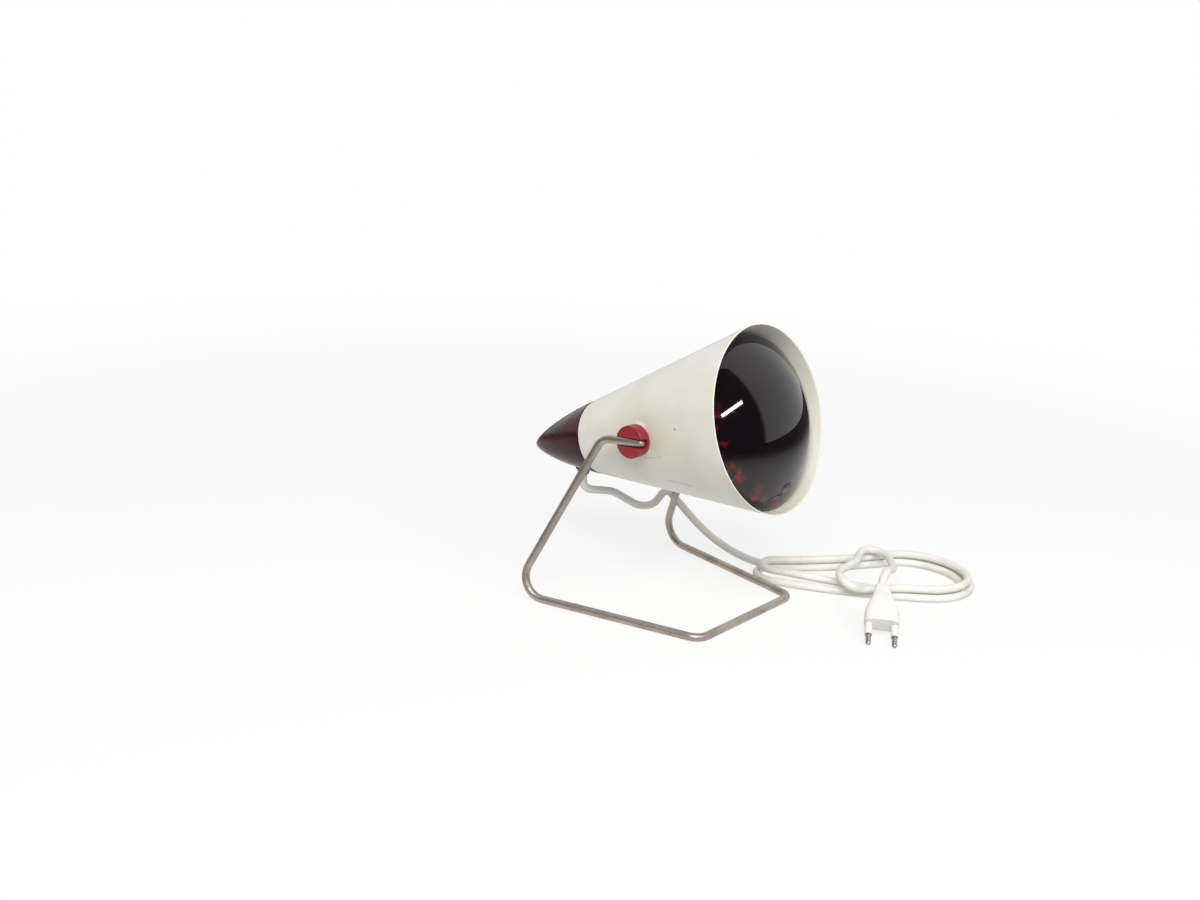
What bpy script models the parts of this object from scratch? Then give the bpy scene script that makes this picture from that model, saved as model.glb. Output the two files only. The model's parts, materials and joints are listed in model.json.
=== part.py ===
"""Infrared heat therapy lamp: an enamelled shade that tilts in a bent wire stand.

Metres, +Z up. The lamp faces -Y and stands on z = 0. Its origin is the middle of the
stand's and the shade's footprint. The shade, the cap and all that they hold hang on the
empty "tilt_axis", whose local +Z runs along the lamp's axis to the mouth.
"""
import math

import bmesh
import bpy
from mathutils import Matrix, Vector

# Fits
GAP = 0.0003                # between pieces that touch
OVERRUN = 0.004             # how far a cutter passes the face that it opens
MERGE = 0.00001             # points closer than this become one

# Shade: a drawn aluminium cone
SHADE_MOUTH_RADIUS = 0.0680
SHADE_TAIL_RADIUS = 0.0290
SHADE_FRONT = 0.0820        # pivot axis to the mouth
SHADE_BACK = 0.0754         # pivot axis to the small end
SHADE_WALL = 0.0008
TILT_DEGREES = 17.0         # how far the lamp looks up

# Cap: the moulded tail
CAP_LENGTH = 0.0713
CAP_WALL = 0.0025

# Stand: one bent rod
WIRE_DIAMETER = 0.0060
FOOT_FLAT = 0.00015           # wear on the rod's underside, where it stands
PIVOT_HEIGHT = 0.1303
FOOT_FRONT = 0.0746         # pivot axis to the front bar
FOOT_FRONT_HALF = 0.0595    # half the spread of the front corners
FOOT_REAR = 0.0740          # pivot axis to the rear corners
FOOT_REAR_HALF = 0.0936
SHOULDER_HALF = 0.0611      # half the spread of the upper bends
SHOULDER_BACK = 0.0235      # upper bends behind the pivot axis
SHOULDER_DROP = 0.0018      # upper bends below the pivot axis
STUB_REACH = 0.0066         # wire's end past the pivot axis

# Pivot: a flat seat pressed in the shade's side, and a knob on it
SEAT_HALF = 0.0503          # middle plane to the seat's face
SEAT_RADIUS = 0.0150
KNOB_RADIUS = 0.0120
KNOB_HEIGHT = 0.0093
WIRE_PROUD = 0.0010         # wire's crown above the knob's face, at the axis

# Bulb: a ruby reflector bulb with a screw cap
BULB_RADIUS = 0.0625
BULB_LENGTH = 0.1810
BULB_FRONT = 0.0980         # pivot axis to the middle of the glass front
BULB_DROP = 0.0016          # bulb and holder hang this far below the shade's axis
GLASS_WALL = 0.0012

# Mains cord and plug
CORD_DIAMETER = 0.0063

TILT = math.radians(TILT_DEGREES)
FRONT_REACH = SHADE_FRONT * math.cos(TILT) + SHADE_MOUTH_RADIUS * math.sin(TILT)
BACK_REACH = (SHADE_BACK + GAP + CAP_LENGTH) * math.cos(TILT)
PIVOT = Vector((0, (FRONT_REACH - BACK_REACH) / 2, PIVOT_HEIGHT))

ROUND = 32                  # sides of a screw, knob or other small round piece
COARSE = 16                 # sides of a piece under 4 mm across
SHADE_SIDES = 64
BULB_SIDES = 40
HOLDER_SIDES = 32


for old in list(bpy.data.objects):
    bpy.data.objects.remove(old, do_unlink=True)

parts = bpy.data.collections.new("infrared_lamp")
cutters = bpy.data.collections.new("cutters")
bpy.context.scene.collection.children.link(parts)
bpy.context.scene.collection.children.link(cutters)


def finish(name, colour, roughness, metallic=0.0, transmission=0.0):
    """A Principled material from an sRGB hex colour."""
    channels = [int(colour[i:i + 2], 16) / 255 for i in (0, 2, 4)]
    linear = [c / 12.92 if c <= 0.04045 else ((c + 0.055) / 1.055) ** 2.4 for c in channels]
    made = bpy.data.materials.new(name)
    made.use_nodes = True
    shader = made.node_tree.nodes["Principled BSDF"]
    shader.inputs["Base Color"].default_value = (*linear, 1)
    shader.inputs["Roughness"].default_value = roughness
    shader.inputs["Metallic"].default_value = metallic
    shader.inputs["Transmission Weight"].default_value = transmission
    made.diffuse_color = (*linear, 1)
    return made


ENAMEL = finish("cream_enamel", "E4E1D6", 0.35)
BAKELITE = finish("maroon_bakelite", "35141A", 0.2)
RED_PLASTIC = finish("red_moulded_plastic", "B5202B", 0.4)
NICKEL = finish("satin_nickel_rod", "A79F96", 0.35, metallic=1.0)
RUBY = finish("ruby_glass", "2A0508", 0.05, transmission=0.6)
CLEAR = finish("clear_glass", "E8EEF0", 0.05, transmission=0.9)
BRASS = finish("brass", "C2A05A", 0.35, metallic=1.0)
ALUMINIUM = finish("aluminium_screw_cap", "C9CACB", 0.35, metallic=1.0)
STEEL = finish("zinc_plated_steel", "B4B6B8", 0.4, metallic=1.0)
TUNGSTEN = finish("tungsten", "6A6A6C", 0.5, metallic=1.0)
PORCELAIN = finish("white_porcelain", "ECE9E1", 0.25)
BLACK_GLASS = finish("black_cap_glass", "141416", 0.15)
CORD_PVC = finish("cream_cord_pvc", "E6E3DA", 0.45)
BROWN_PVC = finish("brown_core_pvc", "6B3A20", 0.45)
BLUE_PVC = finish("blue_core_pvc", "2A4F9A", 0.45)
WHITE_PVC = finish("white_plug_pvc", "EFEDE8", 0.4)
GREY_RUBBER = finish("grey_rubber", "8C8A86", 0.7)
FIBRE = finish("grey_fibre", "77736C", 0.8)


def place(obj, material, parent=None, location=(0, 0, 0), matrix=None):
    """Puts a part in the lamp's collection, under its parent and in its material."""
    parts.objects.link(obj)
    obj.data.materials.clear()
    obj.data.materials.append(material)
    obj.parent = parent
    obj.matrix_local = Matrix.Translation(location) if matrix is None else matrix
    return obj


def tool(obj, parent=None, location=(0, 0, 0), matrix=None):
    """Puts a cutter in the cutters' collection, drawn as a wire and never rendered."""
    cutters.objects.link(obj)
    obj.hide_render = True
    obj.display_type = "WIRE"
    obj.parent = parent
    obj.matrix_local = Matrix.Translation(location) if matrix is None else matrix
    return obj


def boolean(obj, other, operation="DIFFERENCE"):
    """Cuts or joins one object with another, by the exact solver."""
    modifier = obj.modifiers.new(operation.lower() + "_" + other.name, "BOOLEAN")
    modifier.operation = operation
    modifier.object = other
    modifier.solver = "EXACT"
    return obj


def new_object(name, bm):
    """Turns a bmesh into an object, shaded smooth with its hard edges kept."""
    mesh = bpy.data.meshes.new(name)
    bm.to_mesh(mesh)
    bm.free()
    mesh.shade_smooth()
    mesh.set_sharp_from_angle(angle=math.radians(35))
    return bpy.data.objects.new(name, mesh)


def turned(name, profile, sides):
    """A turned piece: (radius, height) points from the top, down the outer side."""
    bm = bmesh.new()
    points = [bm.verts.new((radius, 0, height)) for radius, height in profile]
    for a, b in zip(points, points[1:]):
        bm.edges.new((a, b))
    obj = new_object(name, bm)
    screw = obj.modifiers.new("turn", "SCREW")
    screw.steps = sides
    screw.render_steps = sides
    screw.use_merge_vertices = True
    screw.merge_threshold = MERGE
    screw.use_smooth_shade = True
    return obj


def disc(radius, top, bottom):
    """Profile of a plain round piece."""
    return [(0, top), (radius, top), (radius, bottom), (0, bottom)]


def ring(outer, inner, top, bottom):
    """Profile of a washer, tube or ring."""
    return [(inner, top), (outer, top), (outer, bottom), (inner, bottom), (inner, top)]


def box(name, size, centre=(0, 0, 0)):
    """A block of full size (x, y, z) about its centre."""
    bm = bmesh.new()
    bmesh.ops.create_cube(bm, size=1.0)
    bmesh.ops.scale(bm, vec=size, verts=bm.verts)
    bmesh.ops.translate(bm, vec=centre, verts=bm.verts)
    return new_object(name, bm)


def prism(name, radius, sides, top, bottom, corner=0.0):
    """A round or many-sided bar between two heights; corner chamfers its end edges."""
    bm = bmesh.new()
    bmesh.ops.create_cone(bm, cap_ends=True, segments=sides, radius1=radius, radius2=radius,
                          depth=top - bottom)
    bmesh.ops.translate(bm, vec=(0, 0, (top + bottom) / 2), verts=bm.verts)
    obj = new_object(name, bm)
    if corner:
        bevel = obj.modifiers.new("corner", "BEVEL")
        bevel.width = corner
        bevel.segments = 2
        bevel.limit_method = "ANGLE"
        bevel.angle_limit = math.radians(50)
    return obj


def aimed(point, direction, up=(1, 0, 0)):
    """A matrix at a point whose +Z looks along a direction."""
    z = Vector(direction).normalized()
    x = Vector(up) - z * z.dot(Vector(up))
    x.normalize()
    y = z.cross(x)
    matrix = Matrix((x, y, z)).transposed().to_4x4()
    matrix.translation = point
    return matrix


def empty(name, parent=None, location=(0, 0, 0), turn=(0, 0, 0)):
    """An empty that carries pieces on an axis."""
    obj = bpy.data.objects.new(name, None)
    parts.objects.link(obj)
    obj.parent = parent
    obj.location = location
    obj.rotation_euler = turn
    return obj


def tube(name, points, radius, resolution, radii=None):
    """A round rod or cord along points, as a straight-sided curve with closed ends."""
    curve = bpy.data.curves.new(name, "CURVE")
    curve.dimensions = "3D"
    curve.bevel_depth = radius
    curve.bevel_resolution = resolution
    curve.use_fill_caps = True
    spline = curve.splines.new("POLY")
    spline.points.add(len(points) - 1)
    for i, point in enumerate(points):
        spline.points[i].co = (*point, 1)
        if radii:
            spline.points[i].radius = radii[i]
    return bpy.data.objects.new(name, curve)


def smooth_path(route, spacing):
    """The smooth curve through a route's own points, whose first and last runs stay straight."""
    route = [Vector(p) for p in route]
    fine = []
    fine_steps = 16
    for p0, p1, p2, p3 in zip(route, route[1:], route[2:], route[3:]):
        for step in range(fine_steps):
            t = step / fine_steps
            fine.append(0.5 * (2 * p1 + (p2 - p0) * t + (2 * p0 - 5 * p1 + 4 * p2 - p3) * t ** 2
                               + (3 * p1 - p0 - 3 * p2 + p3) * t ** 3))
    fine.append(route[-2])
    return [route[0]] + resampled(fine, spacing) + [route[-1]]


def resampled(points, spacing):
    """The same path with its points at an even spacing."""
    travelled = [0.0]
    for a, b in zip(points, points[1:]):
        travelled.append(travelled[-1] + (b - a).length)
    count = max(2, round(travelled[-1] / spacing))
    out = []
    at = 0
    for i in range(count + 1):
        goal = travelled[-1] * i / count
        while at < len(points) - 2 and travelled[at + 1] < goal:
            at += 1
        run = travelled[at + 1] - travelled[at]
        out.append(points[at].lerp(points[at + 1], (goal - travelled[at]) / run))
    return out


def rounded(corners, radii, steps):
    """A path of straight runs whose corners are arcs of the given radii."""
    points = [Vector(corners[0])]
    for before, corner, after, radius in zip(corners, corners[1:], corners[2:], radii):
        corner = Vector(corner)
        back = (Vector(before) - corner).normalized()
        ahead = (Vector(after) - corner).normalized()
        half = back.angle(ahead) / 2
        inward = (back + ahead).normalized()
        centre = corner + inward * (radius / math.sin(half))
        start = corner + back * (radius / math.tan(half)) - centre
        end = corner + ahead * (radius / math.tan(half)) - centre
        sweep = start.angle(end)
        for step in range(steps + 1):
            t = step / steps
            weight_a = math.sin((1 - t) * sweep) / math.sin(sweep)
            weight_b = math.sin(t * sweep) / math.sin(sweep)
            points.append(centre + start * weight_a + end * weight_b)
    points.append(Vector(corners[-1]))
    return points


# Tilt axis, with the shade's frame: local +Z to the mouth, +Y up, X along the axis
tilt_axis = empty("tilt_axis", location=PIVOT, turn=(math.pi / 2 - TILT, 0, 0))
tilt_frame = Matrix.Translation(PIVOT) @ Matrix.Rotation(math.pi / 2 - TILT, 4, "X")
# The holder and the bulb share an axis a little below the shade's
bulb_axis = empty("bulb_axis", parent=tilt_axis, location=(0, -BULB_DROP, 0))


# Shade
SHADE_SLOPE = math.atan2(SHADE_MOUTH_RADIUS - SHADE_TAIL_RADIUS, SHADE_FRONT + SHADE_BACK)
SHADE_WALL_ACROSS = SHADE_WALL / math.cos(SHADE_SLOPE)
FLANGE_WIDTH = 0.0022       # rim turned in at the small end
BUSH_HOLE_RADIUS = 0.0037   # hole in the seat for the pivot's bush
SHADE_OPENING = SHADE_TAIL_RADIUS - SHADE_WALL_ACROSS - FLANGE_WIDTH


def shade_radius(height):
    """Outer radius of the cone at a height along the lamp's axis."""
    return SHADE_TAIL_RADIUS + (height + SHADE_BACK) * math.tan(SHADE_SLOPE)


def shade_inside(height):
    """Inner radius of the cone at a height along the lamp's axis."""
    return shade_radius(height) - SHADE_WALL_ACROSS


def sideways(side):
    """A matrix on the tilt axis whose +Z looks out to one side of the lamp."""
    return aimed((0, 0, 0), (side, 0, 0), up=(0, 0, 1))


def make_shade():
    """The cone, its two pressed seats and its turned-in rim, as one sheet."""
    shade = turned("shade", [(0, SHADE_FRONT), (SHADE_MOUTH_RADIUS, SHADE_FRONT),
                             (SHADE_TAIL_RADIUS, -SHADE_BACK), (0, -SHADE_BACK)], SHADE_SIDES)
    place(shade, ENAMEL, tilt_axis)
    rim = SHADE_WALL - SHADE_BACK
    above = SHADE_FRONT + OVERRUN
    hollow = turned("shade_hollow", [(0, above), (shade_inside(above), above),
                                     (shade_inside(rim), rim), (SHADE_OPENING, rim),
                                     (SHADE_OPENING, -SHADE_BACK - OVERRUN),
                                     (0, -SHADE_BACK - OVERRUN)], SHADE_SIDES)
    tool(hollow, tilt_axis)
    inner_end = shade_inside(-SEAT_RADIUS) / 2
    seats = []
    for word, side in (("right", -1), ("left", 1)):
        raised = prism("seat_raised_" + word, SEAT_RADIUS, ROUND, SEAT_HALF, inner_end)
        boolean(shade, tool(raised, tilt_axis, matrix=sideways(side)), "UNION")
        pressed = prism("seat_pressed_" + word, SEAT_RADIUS - SHADE_WALL, ROUND,
                        SEAT_HALF - SHADE_WALL, inner_end - OVERRUN)
        hole = prism("seat_hole_" + word, BUSH_HOLE_RADIUS, ROUND,
                     SEAT_HALF + OVERRUN, inner_end)
        seats.append(tool(pressed, tilt_axis, matrix=sideways(side)))
        seats.append(tool(hole, tilt_axis, matrix=sideways(side)))
    for cutter in [hollow] + seats:
        boolean(shade, cutter)


# Cap
CAP_TOP = -SHADE_BACK - GAP
CAP_FULLNESS = 1.116        # how late the cap starts to narrow
CAP_BLUNTNESS = 0.697       # how round its tip is
CAP_STEPS = 12
CAP_TIP_WALL = 0.0040
BOSS_RADIUS = 0.0032
BOSS_LENGTH = 0.0120
SCREW_RADIUS = 0.0015       # M3
SCREW_HEAD_RADIUS = 0.0028
SCREW_HEAD_HEIGHT = 0.0020
CAP_SCREW_LENGTH = 0.0120
BOSS_OUT = SHADE_OPENING - GAP - BOSS_RADIUS    # lamp's axis to a boss
EXIT_DEPTH = 0.0246         # cord's hole behind the cap's front edge
BUSH_BODY_RADIUS = 0.0050
CORD_BORE = CORD_DIAMETER / 2 + GAP


def cap_radius(depth):
    """Outer radius of the cap at a depth behind its front edge."""
    share = min(depth / CAP_LENGTH, 1.0)
    return SHADE_TAIL_RADIUS * (1 - share ** CAP_FULLNESS) ** CAP_BLUNTNESS


def cap_profile(inset, length):
    """(radius, height) points down the cap, closer together near its tip."""
    points = []
    for step in range(CAP_STEPS):
        depth = CAP_LENGTH * math.sin(math.pi / 2 * step / CAP_STEPS)
        radius = cap_radius(depth) - inset
        if depth < length and radius > inset:
            points.append((radius, CAP_TOP - depth))
    return points + [(0, CAP_TOP - length)]


# The cord leaves square to the cap's wall, straight down while the lamp is at rest
EXIT_RADIUS = cap_radius(EXIT_DEPTH)
EXIT_STEP = CAP_LENGTH / 100
EXIT_SLOPE = math.atan2(cap_radius(EXIT_DEPTH - EXIT_STEP) - cap_radius(EXIT_DEPTH + EXIT_STEP),
                        2 * EXIT_STEP)
EXIT_POINT = Vector((0, -EXIT_RADIUS, CAP_TOP - EXIT_DEPTH))
EXIT_WAY = Vector((0, -math.cos(EXIT_SLOPE), -math.sin(EXIT_SLOPE)))
exit_frame = aimed(EXIT_POINT, EXIT_WAY)


def make_cap():
    """The hollow cap with its two screw bosses and the cord's hole."""
    cap = turned("tail_cap", [(0, CAP_TOP)] + cap_profile(0, CAP_LENGTH), BULB_SIDES)
    place(cap, BAKELITE, tilt_axis)
    inner = cap_profile(CAP_WALL, CAP_LENGTH - CAP_TIP_WALL)
    mouth = [(0, CAP_TOP + OVERRUN), (inner[0][0], CAP_TOP + OVERRUN)]
    hollow = tool(turned("cap_hollow", mouth + inner, BULB_SIDES), tilt_axis)
    for side in (-1, 1):
        across = (side * BOSS_OUT, 0, 0)
        boss = prism("cap_boss" + str(side), BOSS_RADIUS, ROUND // 2,
                     CAP_TOP, CAP_TOP - BOSS_LENGTH)
        boolean(hollow, tool(boss, tilt_axis, across))
    boolean(cap, hollow)
    boss_top = SHADE_WALL - SHADE_BACK
    for side in (-1, 1):
        spigot = prism("cap_spigot" + str(side), BOSS_RADIUS - GAP, ROUND // 2,
                       boss_top, CAP_TOP - BOSS_LENGTH / 2)
        boolean(cap, tool(spigot, tilt_axis, (side * BOSS_OUT, 0, 0)), "UNION")
    pilot_end = CAP_TOP - CAP_SCREW_LENGTH - GAP
    for side in (-1, 1):
        pilot = prism("cap_pilot" + str(side), SCREW_RADIUS + GAP, COARSE,
                      CAP_TOP + OVERRUN, pilot_end)
        boolean(cap, tool(pilot, tilt_axis, (side * BOSS_OUT, 0, 0)))
    hole = prism("cord_hole", BUSH_BODY_RADIUS + GAP, ROUND, OVERRUN, -CAP_WALL - OVERRUN)
    boolean(cap, tool(hole, tilt_axis, matrix=exit_frame))


make_shade()
make_cap()


# Holder plate: a steel disc clamped between the cap's bosses and the shade's turned-in rim
PLATE_THICKNESS = 0.0012
PLATE_BACK = SHADE_WALL - SHADE_BACK + GAP
PLATE_FRONT = PLATE_BACK + PLATE_THICKNESS
# Lampholder: a porcelain body whose neck passes the plate and takes a ring nut
SHELL_WALL = 0.0004
BASE_RADIUS = 0.0132        # bulb's screw cap over its thread
SHELL_BORE = BASE_RADIUS + GAP
CAVITY_RADIUS = SHELL_BORE + SHELL_WALL + GAP
PORCELAIN_WALL = 0.0023
NECK_RADIUS = CAVITY_RADIUS + PORCELAIN_WALL
SHOULDER_WIDTH = 0.0019
NECK_LENGTH = 0.0206        # shoulder's face to the holder's front
HOLDER_REAR = 0.0174        # shoulder's face to the holder's back
RING_NUT_WIDTH = 0.0022
RING_NUT_HEIGHT = 0.0045
CONTACT_HEIGHT = 0.0028
CONTACT_RADIUS = 0.0046
RIVET_RADIUS = 0.0014
SHOULDER_FACE = PLATE_BACK - GAP
HOLDER_FRONT = SHOULDER_FACE + NECK_LENGTH
HOLDER_BACK = SHOULDER_FACE - HOLDER_REAR
BULB_TIP = BULB_FRONT - BULB_LENGTH
CONTACT_TOP = BULB_TIP - GAP
CAVITY_FLOOR = CONTACT_TOP - CONTACT_HEIGHT - GAP
# Terminals and the cord's clamp on the holder's back
TERMINAL_OUT = 0.0080
TERMINAL_UP = 0.0070
TERMINAL_DEPTH = 0.0045     # shank inside the porcelain
CLAMP_DOWN = 0.0060         # clamp's middle below the bulb's axis
CLAMP_LENGTH = 0.0185
CLAMP_WIDTH = 0.0060
CLAMP_THICKNESS = 0.0018
CLAMP_SCREW_OUT = 0.0062
CLAMP_SCREW_GRIP = 0.0045
PAD_HEIGHT = 0.0020         # porcelain pad under the cord
CORD_BED = HOLDER_BACK - PAD_HEIGHT - GAP - CORD_DIAMETER / 2
CLAMP_FRONT = CORD_BED - CORD_DIAMETER / 2 - GAP
CLAMP_BACK = CLAMP_FRONT - CLAMP_THICKNESS


def screw(name, head_top, head_height, length, head_radius, shank_radius, material, parent,
          matrix):
    """A cheese-head screw along local Z, its head on top, with a screwdriver slot."""
    under = head_top - head_height
    made = turned(name, [(0, head_top), (head_radius, head_top), (head_radius, under),
                         (shank_radius, under), (shank_radius, under - length),
                         (0, under - length)], COARSE)
    place(made, material, parent, matrix=matrix)
    slot = box(name + "_slot", (2 * head_radius + OVERRUN, head_height / 3, head_height),
               (0, 0, head_top))
    return boolean(made, tool(slot, parent, matrix=matrix))


def make_plate():
    """The disc with the holder's hole and the two cap screws' holes."""
    radius = shade_inside(PLATE_BACK) - GAP
    plate = turned("holder_plate", disc(radius, PLATE_FRONT, PLATE_BACK), HOLDER_SIDES)
    place(plate, STEEL, tilt_axis)
    hole = prism("plate_hole", NECK_RADIUS + GAP, HOLDER_SIDES, PLATE_FRONT + OVERRUN,
                 PLATE_BACK - OVERRUN)
    boolean(plate, tool(hole, bulb_axis))
    for word, side in (("right", -1), ("left", 1)):
        across = (side * BOSS_OUT, 0, 0)
        clear = prism("plate_screw_hole_" + word, SCREW_RADIUS + GAP, COARSE,
                      PLATE_FRONT + OVERRUN, PLATE_BACK - OVERRUN)
        boolean(plate, tool(clear, tilt_axis, across))
        head_top = PLATE_FRONT + GAP + SCREW_HEAD_HEIGHT
        screw("cap_screw_" + word, head_top, SCREW_HEAD_HEIGHT, CAP_SCREW_LENGTH,
              SCREW_HEAD_RADIUS, SCREW_RADIUS, STEEL, tilt_axis, Matrix.Translation(across))


def make_holder():
    """The porcelain body, its ring nut, the screw shell and the sprung contact."""
    shoulder = NECK_RADIUS + SHOULDER_WIDTH
    rivet_hole = RIVET_RADIUS + GAP
    body = turned("lampholder_body", [
        (CAVITY_RADIUS, HOLDER_FRONT), (NECK_RADIUS, HOLDER_FRONT),
        (NECK_RADIUS, SHOULDER_FACE), (shoulder, SHOULDER_FACE), (shoulder, HOLDER_BACK),
        (rivet_hole, HOLDER_BACK), (rivet_hole, CAVITY_FLOOR), (CAVITY_RADIUS, CAVITY_FLOOR),
        (CAVITY_RADIUS, HOLDER_FRONT)], HOLDER_SIDES)
    place(body, PORCELAIN, bulb_axis)
    pad = box("cord_pad", (CLAMP_LENGTH, CLAMP_WIDTH, 2 * PAD_HEIGHT),
              (0, -CLAMP_DOWN, HOLDER_BACK))
    boolean(body, tool(pad, bulb_axis), "UNION")
    nut_back = PLATE_FRONT + GAP
    nut = turned("holder_ring_nut", ring(NECK_RADIUS + GAP + RING_NUT_WIDTH, NECK_RADIUS + GAP,
                                         nut_back + RING_NUT_HEIGHT, nut_back), HOLDER_SIDES)
    place(nut, STEEL, bulb_axis)
    shell_back = CAVITY_FLOOR + GAP
    shell = turned("screw_shell", [
        (SHELL_BORE, HOLDER_FRONT - PORCELAIN_WALL),
        (SHELL_BORE + SHELL_WALL, HOLDER_FRONT - PORCELAIN_WALL),
        (SHELL_BORE + SHELL_WALL, shell_back), (2 * CONTACT_RADIUS, shell_back),
        (2 * CONTACT_RADIUS, shell_back + SHELL_WALL), (SHELL_BORE, shell_back + SHELL_WALL),
        (SHELL_BORE, HOLDER_FRONT - PORCELAIN_WALL)], HOLDER_SIDES)
    place(shell, BRASS, bulb_axis)
    seat = CAVITY_FLOOR + GAP
    contact = turned("centre_contact", [
        (0, CONTACT_TOP), (CONTACT_RADIUS / 2, CONTACT_TOP), (CONTACT_RADIUS, seat + SHELL_WALL),
        (CONTACT_RADIUS, seat), (RIVET_RADIUS, seat), (RIVET_RADIUS, HOLDER_BACK),
        (0, HOLDER_BACK)], ROUND // 2)
    place(contact, BRASS, bulb_axis)
    backwards = Matrix.Rotation(math.pi, 4, "X")
    for word, side in (("live", 1), ("neutral", -1)):
        at = Matrix.Translation((side * TERMINAL_OUT, TERMINAL_UP, HOLDER_BACK)) @ backwards
        screw("terminal_screw_" + word, GAP + SCREW_HEAD_HEIGHT, SCREW_HEAD_HEIGHT,
              TERMINAL_DEPTH, SCREW_HEAD_RADIUS, SCREW_RADIUS, BRASS, bulb_axis, at)
        hole = prism("terminal_hole_" + word, SCREW_RADIUS + GAP, COARSE, OVERRUN,
                     -TERMINAL_DEPTH - GAP)
        boolean(body, tool(hole, bulb_axis, matrix=at))
    clamp = box("cord_clamp", (CLAMP_LENGTH, CLAMP_WIDTH, CLAMP_THICKNESS),
                (0, -CLAMP_DOWN, (CLAMP_FRONT + CLAMP_BACK) / 2))
    place(clamp, STEEL, bulb_axis)
    stand_off = CLAMP_BACK - HOLDER_BACK
    for word, side in (("right", -1), ("left", 1)):
        at = Matrix.Translation((side * CLAMP_SCREW_OUT, -CLAMP_DOWN, CLAMP_BACK)) @ backwards
        screw("clamp_screw_" + word, GAP + SCREW_HEAD_HEIGHT, SCREW_HEAD_HEIGHT,
              CLAMP_SCREW_GRIP - stand_off, SCREW_HEAD_RADIUS, SCREW_RADIUS, STEEL,
              bulb_axis, at)
        hole = prism("clamp_hole_" + word, SCREW_RADIUS + GAP, COARSE, OVERRUN,
                     stand_off - CLAMP_SCREW_GRIP - 2 * GAP)
        boolean(body, tool(hole, bulb_axis, matrix=at))
        boolean(clamp, hole)


# Bulb: glass, screw cap, insulator, tip, stem, filament and its two wires
BASE_LENGTH = 0.0270        # bulb's tip to the screw cap's rim
BASE_FOOT = 0.0040          # bulb's tip to the screw cap's lower edge
THREAD_PITCH = 0.00363
THREAD_DEPTH = 0.0009
BASE_WALL = 0.0004
BASE_LIP_RADIUS = 0.0104
TIP_RADIUS = 0.0047
TIP_HEIGHT = 0.0012
TIP_STEM_RADIUS = 0.0012
NECK_GLASS_RADIUS = 0.0200  # the reflector's neck
NECK_START = 0.0030         # glass spreads this far in front of the screw cap
NECK_ROUNDING = 0.0070
REFLECTOR_ANGLE = math.radians(20)      # reflector's slope where it meets the shoulder
BULB_SHOULDER = 0.0060      # radius of the turn from reflector to front
FRONT_CURVE = 0.0920        # radius of the front
STEM_LENGTH = 0.0420
STEM_RADIUS = 0.0035
FILAMENT_RING = 0.0100
FILAMENT_RADIUS = 0.0008
FILAMENT_OPENING = math.radians(60)
FILAMENT_STEPS = 20
LEAD_WIRE_RADIUS = 0.0004
ARC_STEPS = 3
FRONT_STEPS = 5
PARABOLA_STEPS = 4


def shoulder_height():
    """Height of the bulb's widest circle, from the tangent arcs of its front."""
    lean = math.asin((BULB_RADIUS - BULB_SHOULDER) / (FRONT_CURVE - BULB_SHOULDER))
    return BULB_FRONT - FRONT_CURVE + (FRONT_CURVE - BULB_SHOULDER) * math.cos(lean), lean


def bulb_profile():
    """(radius, height) points of the glass, from the middle of its front to its neck's end."""
    widest, lean = shoulder_height()
    front_centre = BULB_FRONT - FRONT_CURVE
    points = []
    for step in range(FRONT_STEPS):
        angle = lean * step / FRONT_STEPS
        points.append((FRONT_CURVE * math.sin(angle), front_centre + FRONT_CURVE * math.cos(angle)))
    turn_end = math.pi / 2 + REFLECTOR_ANGLE
    for step in range(2 * ARC_STEPS + 1):
        angle = lean + (turn_end - lean) * step / (2 * ARC_STEPS)
        points.append((BULB_RADIUS - BULB_SHOULDER + BULB_SHOULDER * math.sin(angle),
                       widest + BULB_SHOULDER * math.cos(angle)))
    # The reflector is a parabola: radius squared grows evenly with height
    joint_radius, joint_height = points[-1]
    growth = 2 * joint_radius * math.tan(REFLECTOR_ANGLE)
    for step in range(1, PARABOLA_STEPS + 1):
        radius = joint_radius + (NECK_GLASS_RADIUS - joint_radius) * step / PARABOLA_STEPS
        points.append((radius, joint_height - (joint_radius ** 2 - radius ** 2) / growth))
    base_rim = BULB_TIP + BASE_LENGTH
    inner_neck = BASE_RADIUS - THREAD_DEPTH - BASE_WALL - GAP
    spread = base_rim + NECK_START
    neck = rounded([(NECK_GLASS_RADIUS, 0, spread + 2 * NECK_ROUNDING),
                    (NECK_GLASS_RADIUS, 0, spread + NECK_ROUNDING),
                    (inner_neck, 0, spread), (inner_neck, 0, BULB_TIP + BASE_LENGTH / 2)],
                   [NECK_ROUNDING / 2, NECK_ROUNDING / 2], ARC_STEPS - 1)
    return points + [(p.x, p.z) for p in neck]


def inner_wall(points, wall):
    """Every other point of a profile, one wall inside, from its end back to its start."""
    inside = []
    kept = [i for i in range(len(points) - 1) if i % 2 == 0] + [len(points) - 1]
    for i in kept:
        radius, height = points[i]
        before = points[max(i - 1, 0)]
        after = points[min(i + 1, len(points) - 1)]
        along = Vector((after[0] - before[0], after[1] - before[1])).normalized()
        if radius == 0:
            along = Vector((1, 0))
        inside.append((max(radius + along.y * wall, 0), height - along.x * wall))
    return inside[::-1]


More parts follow.
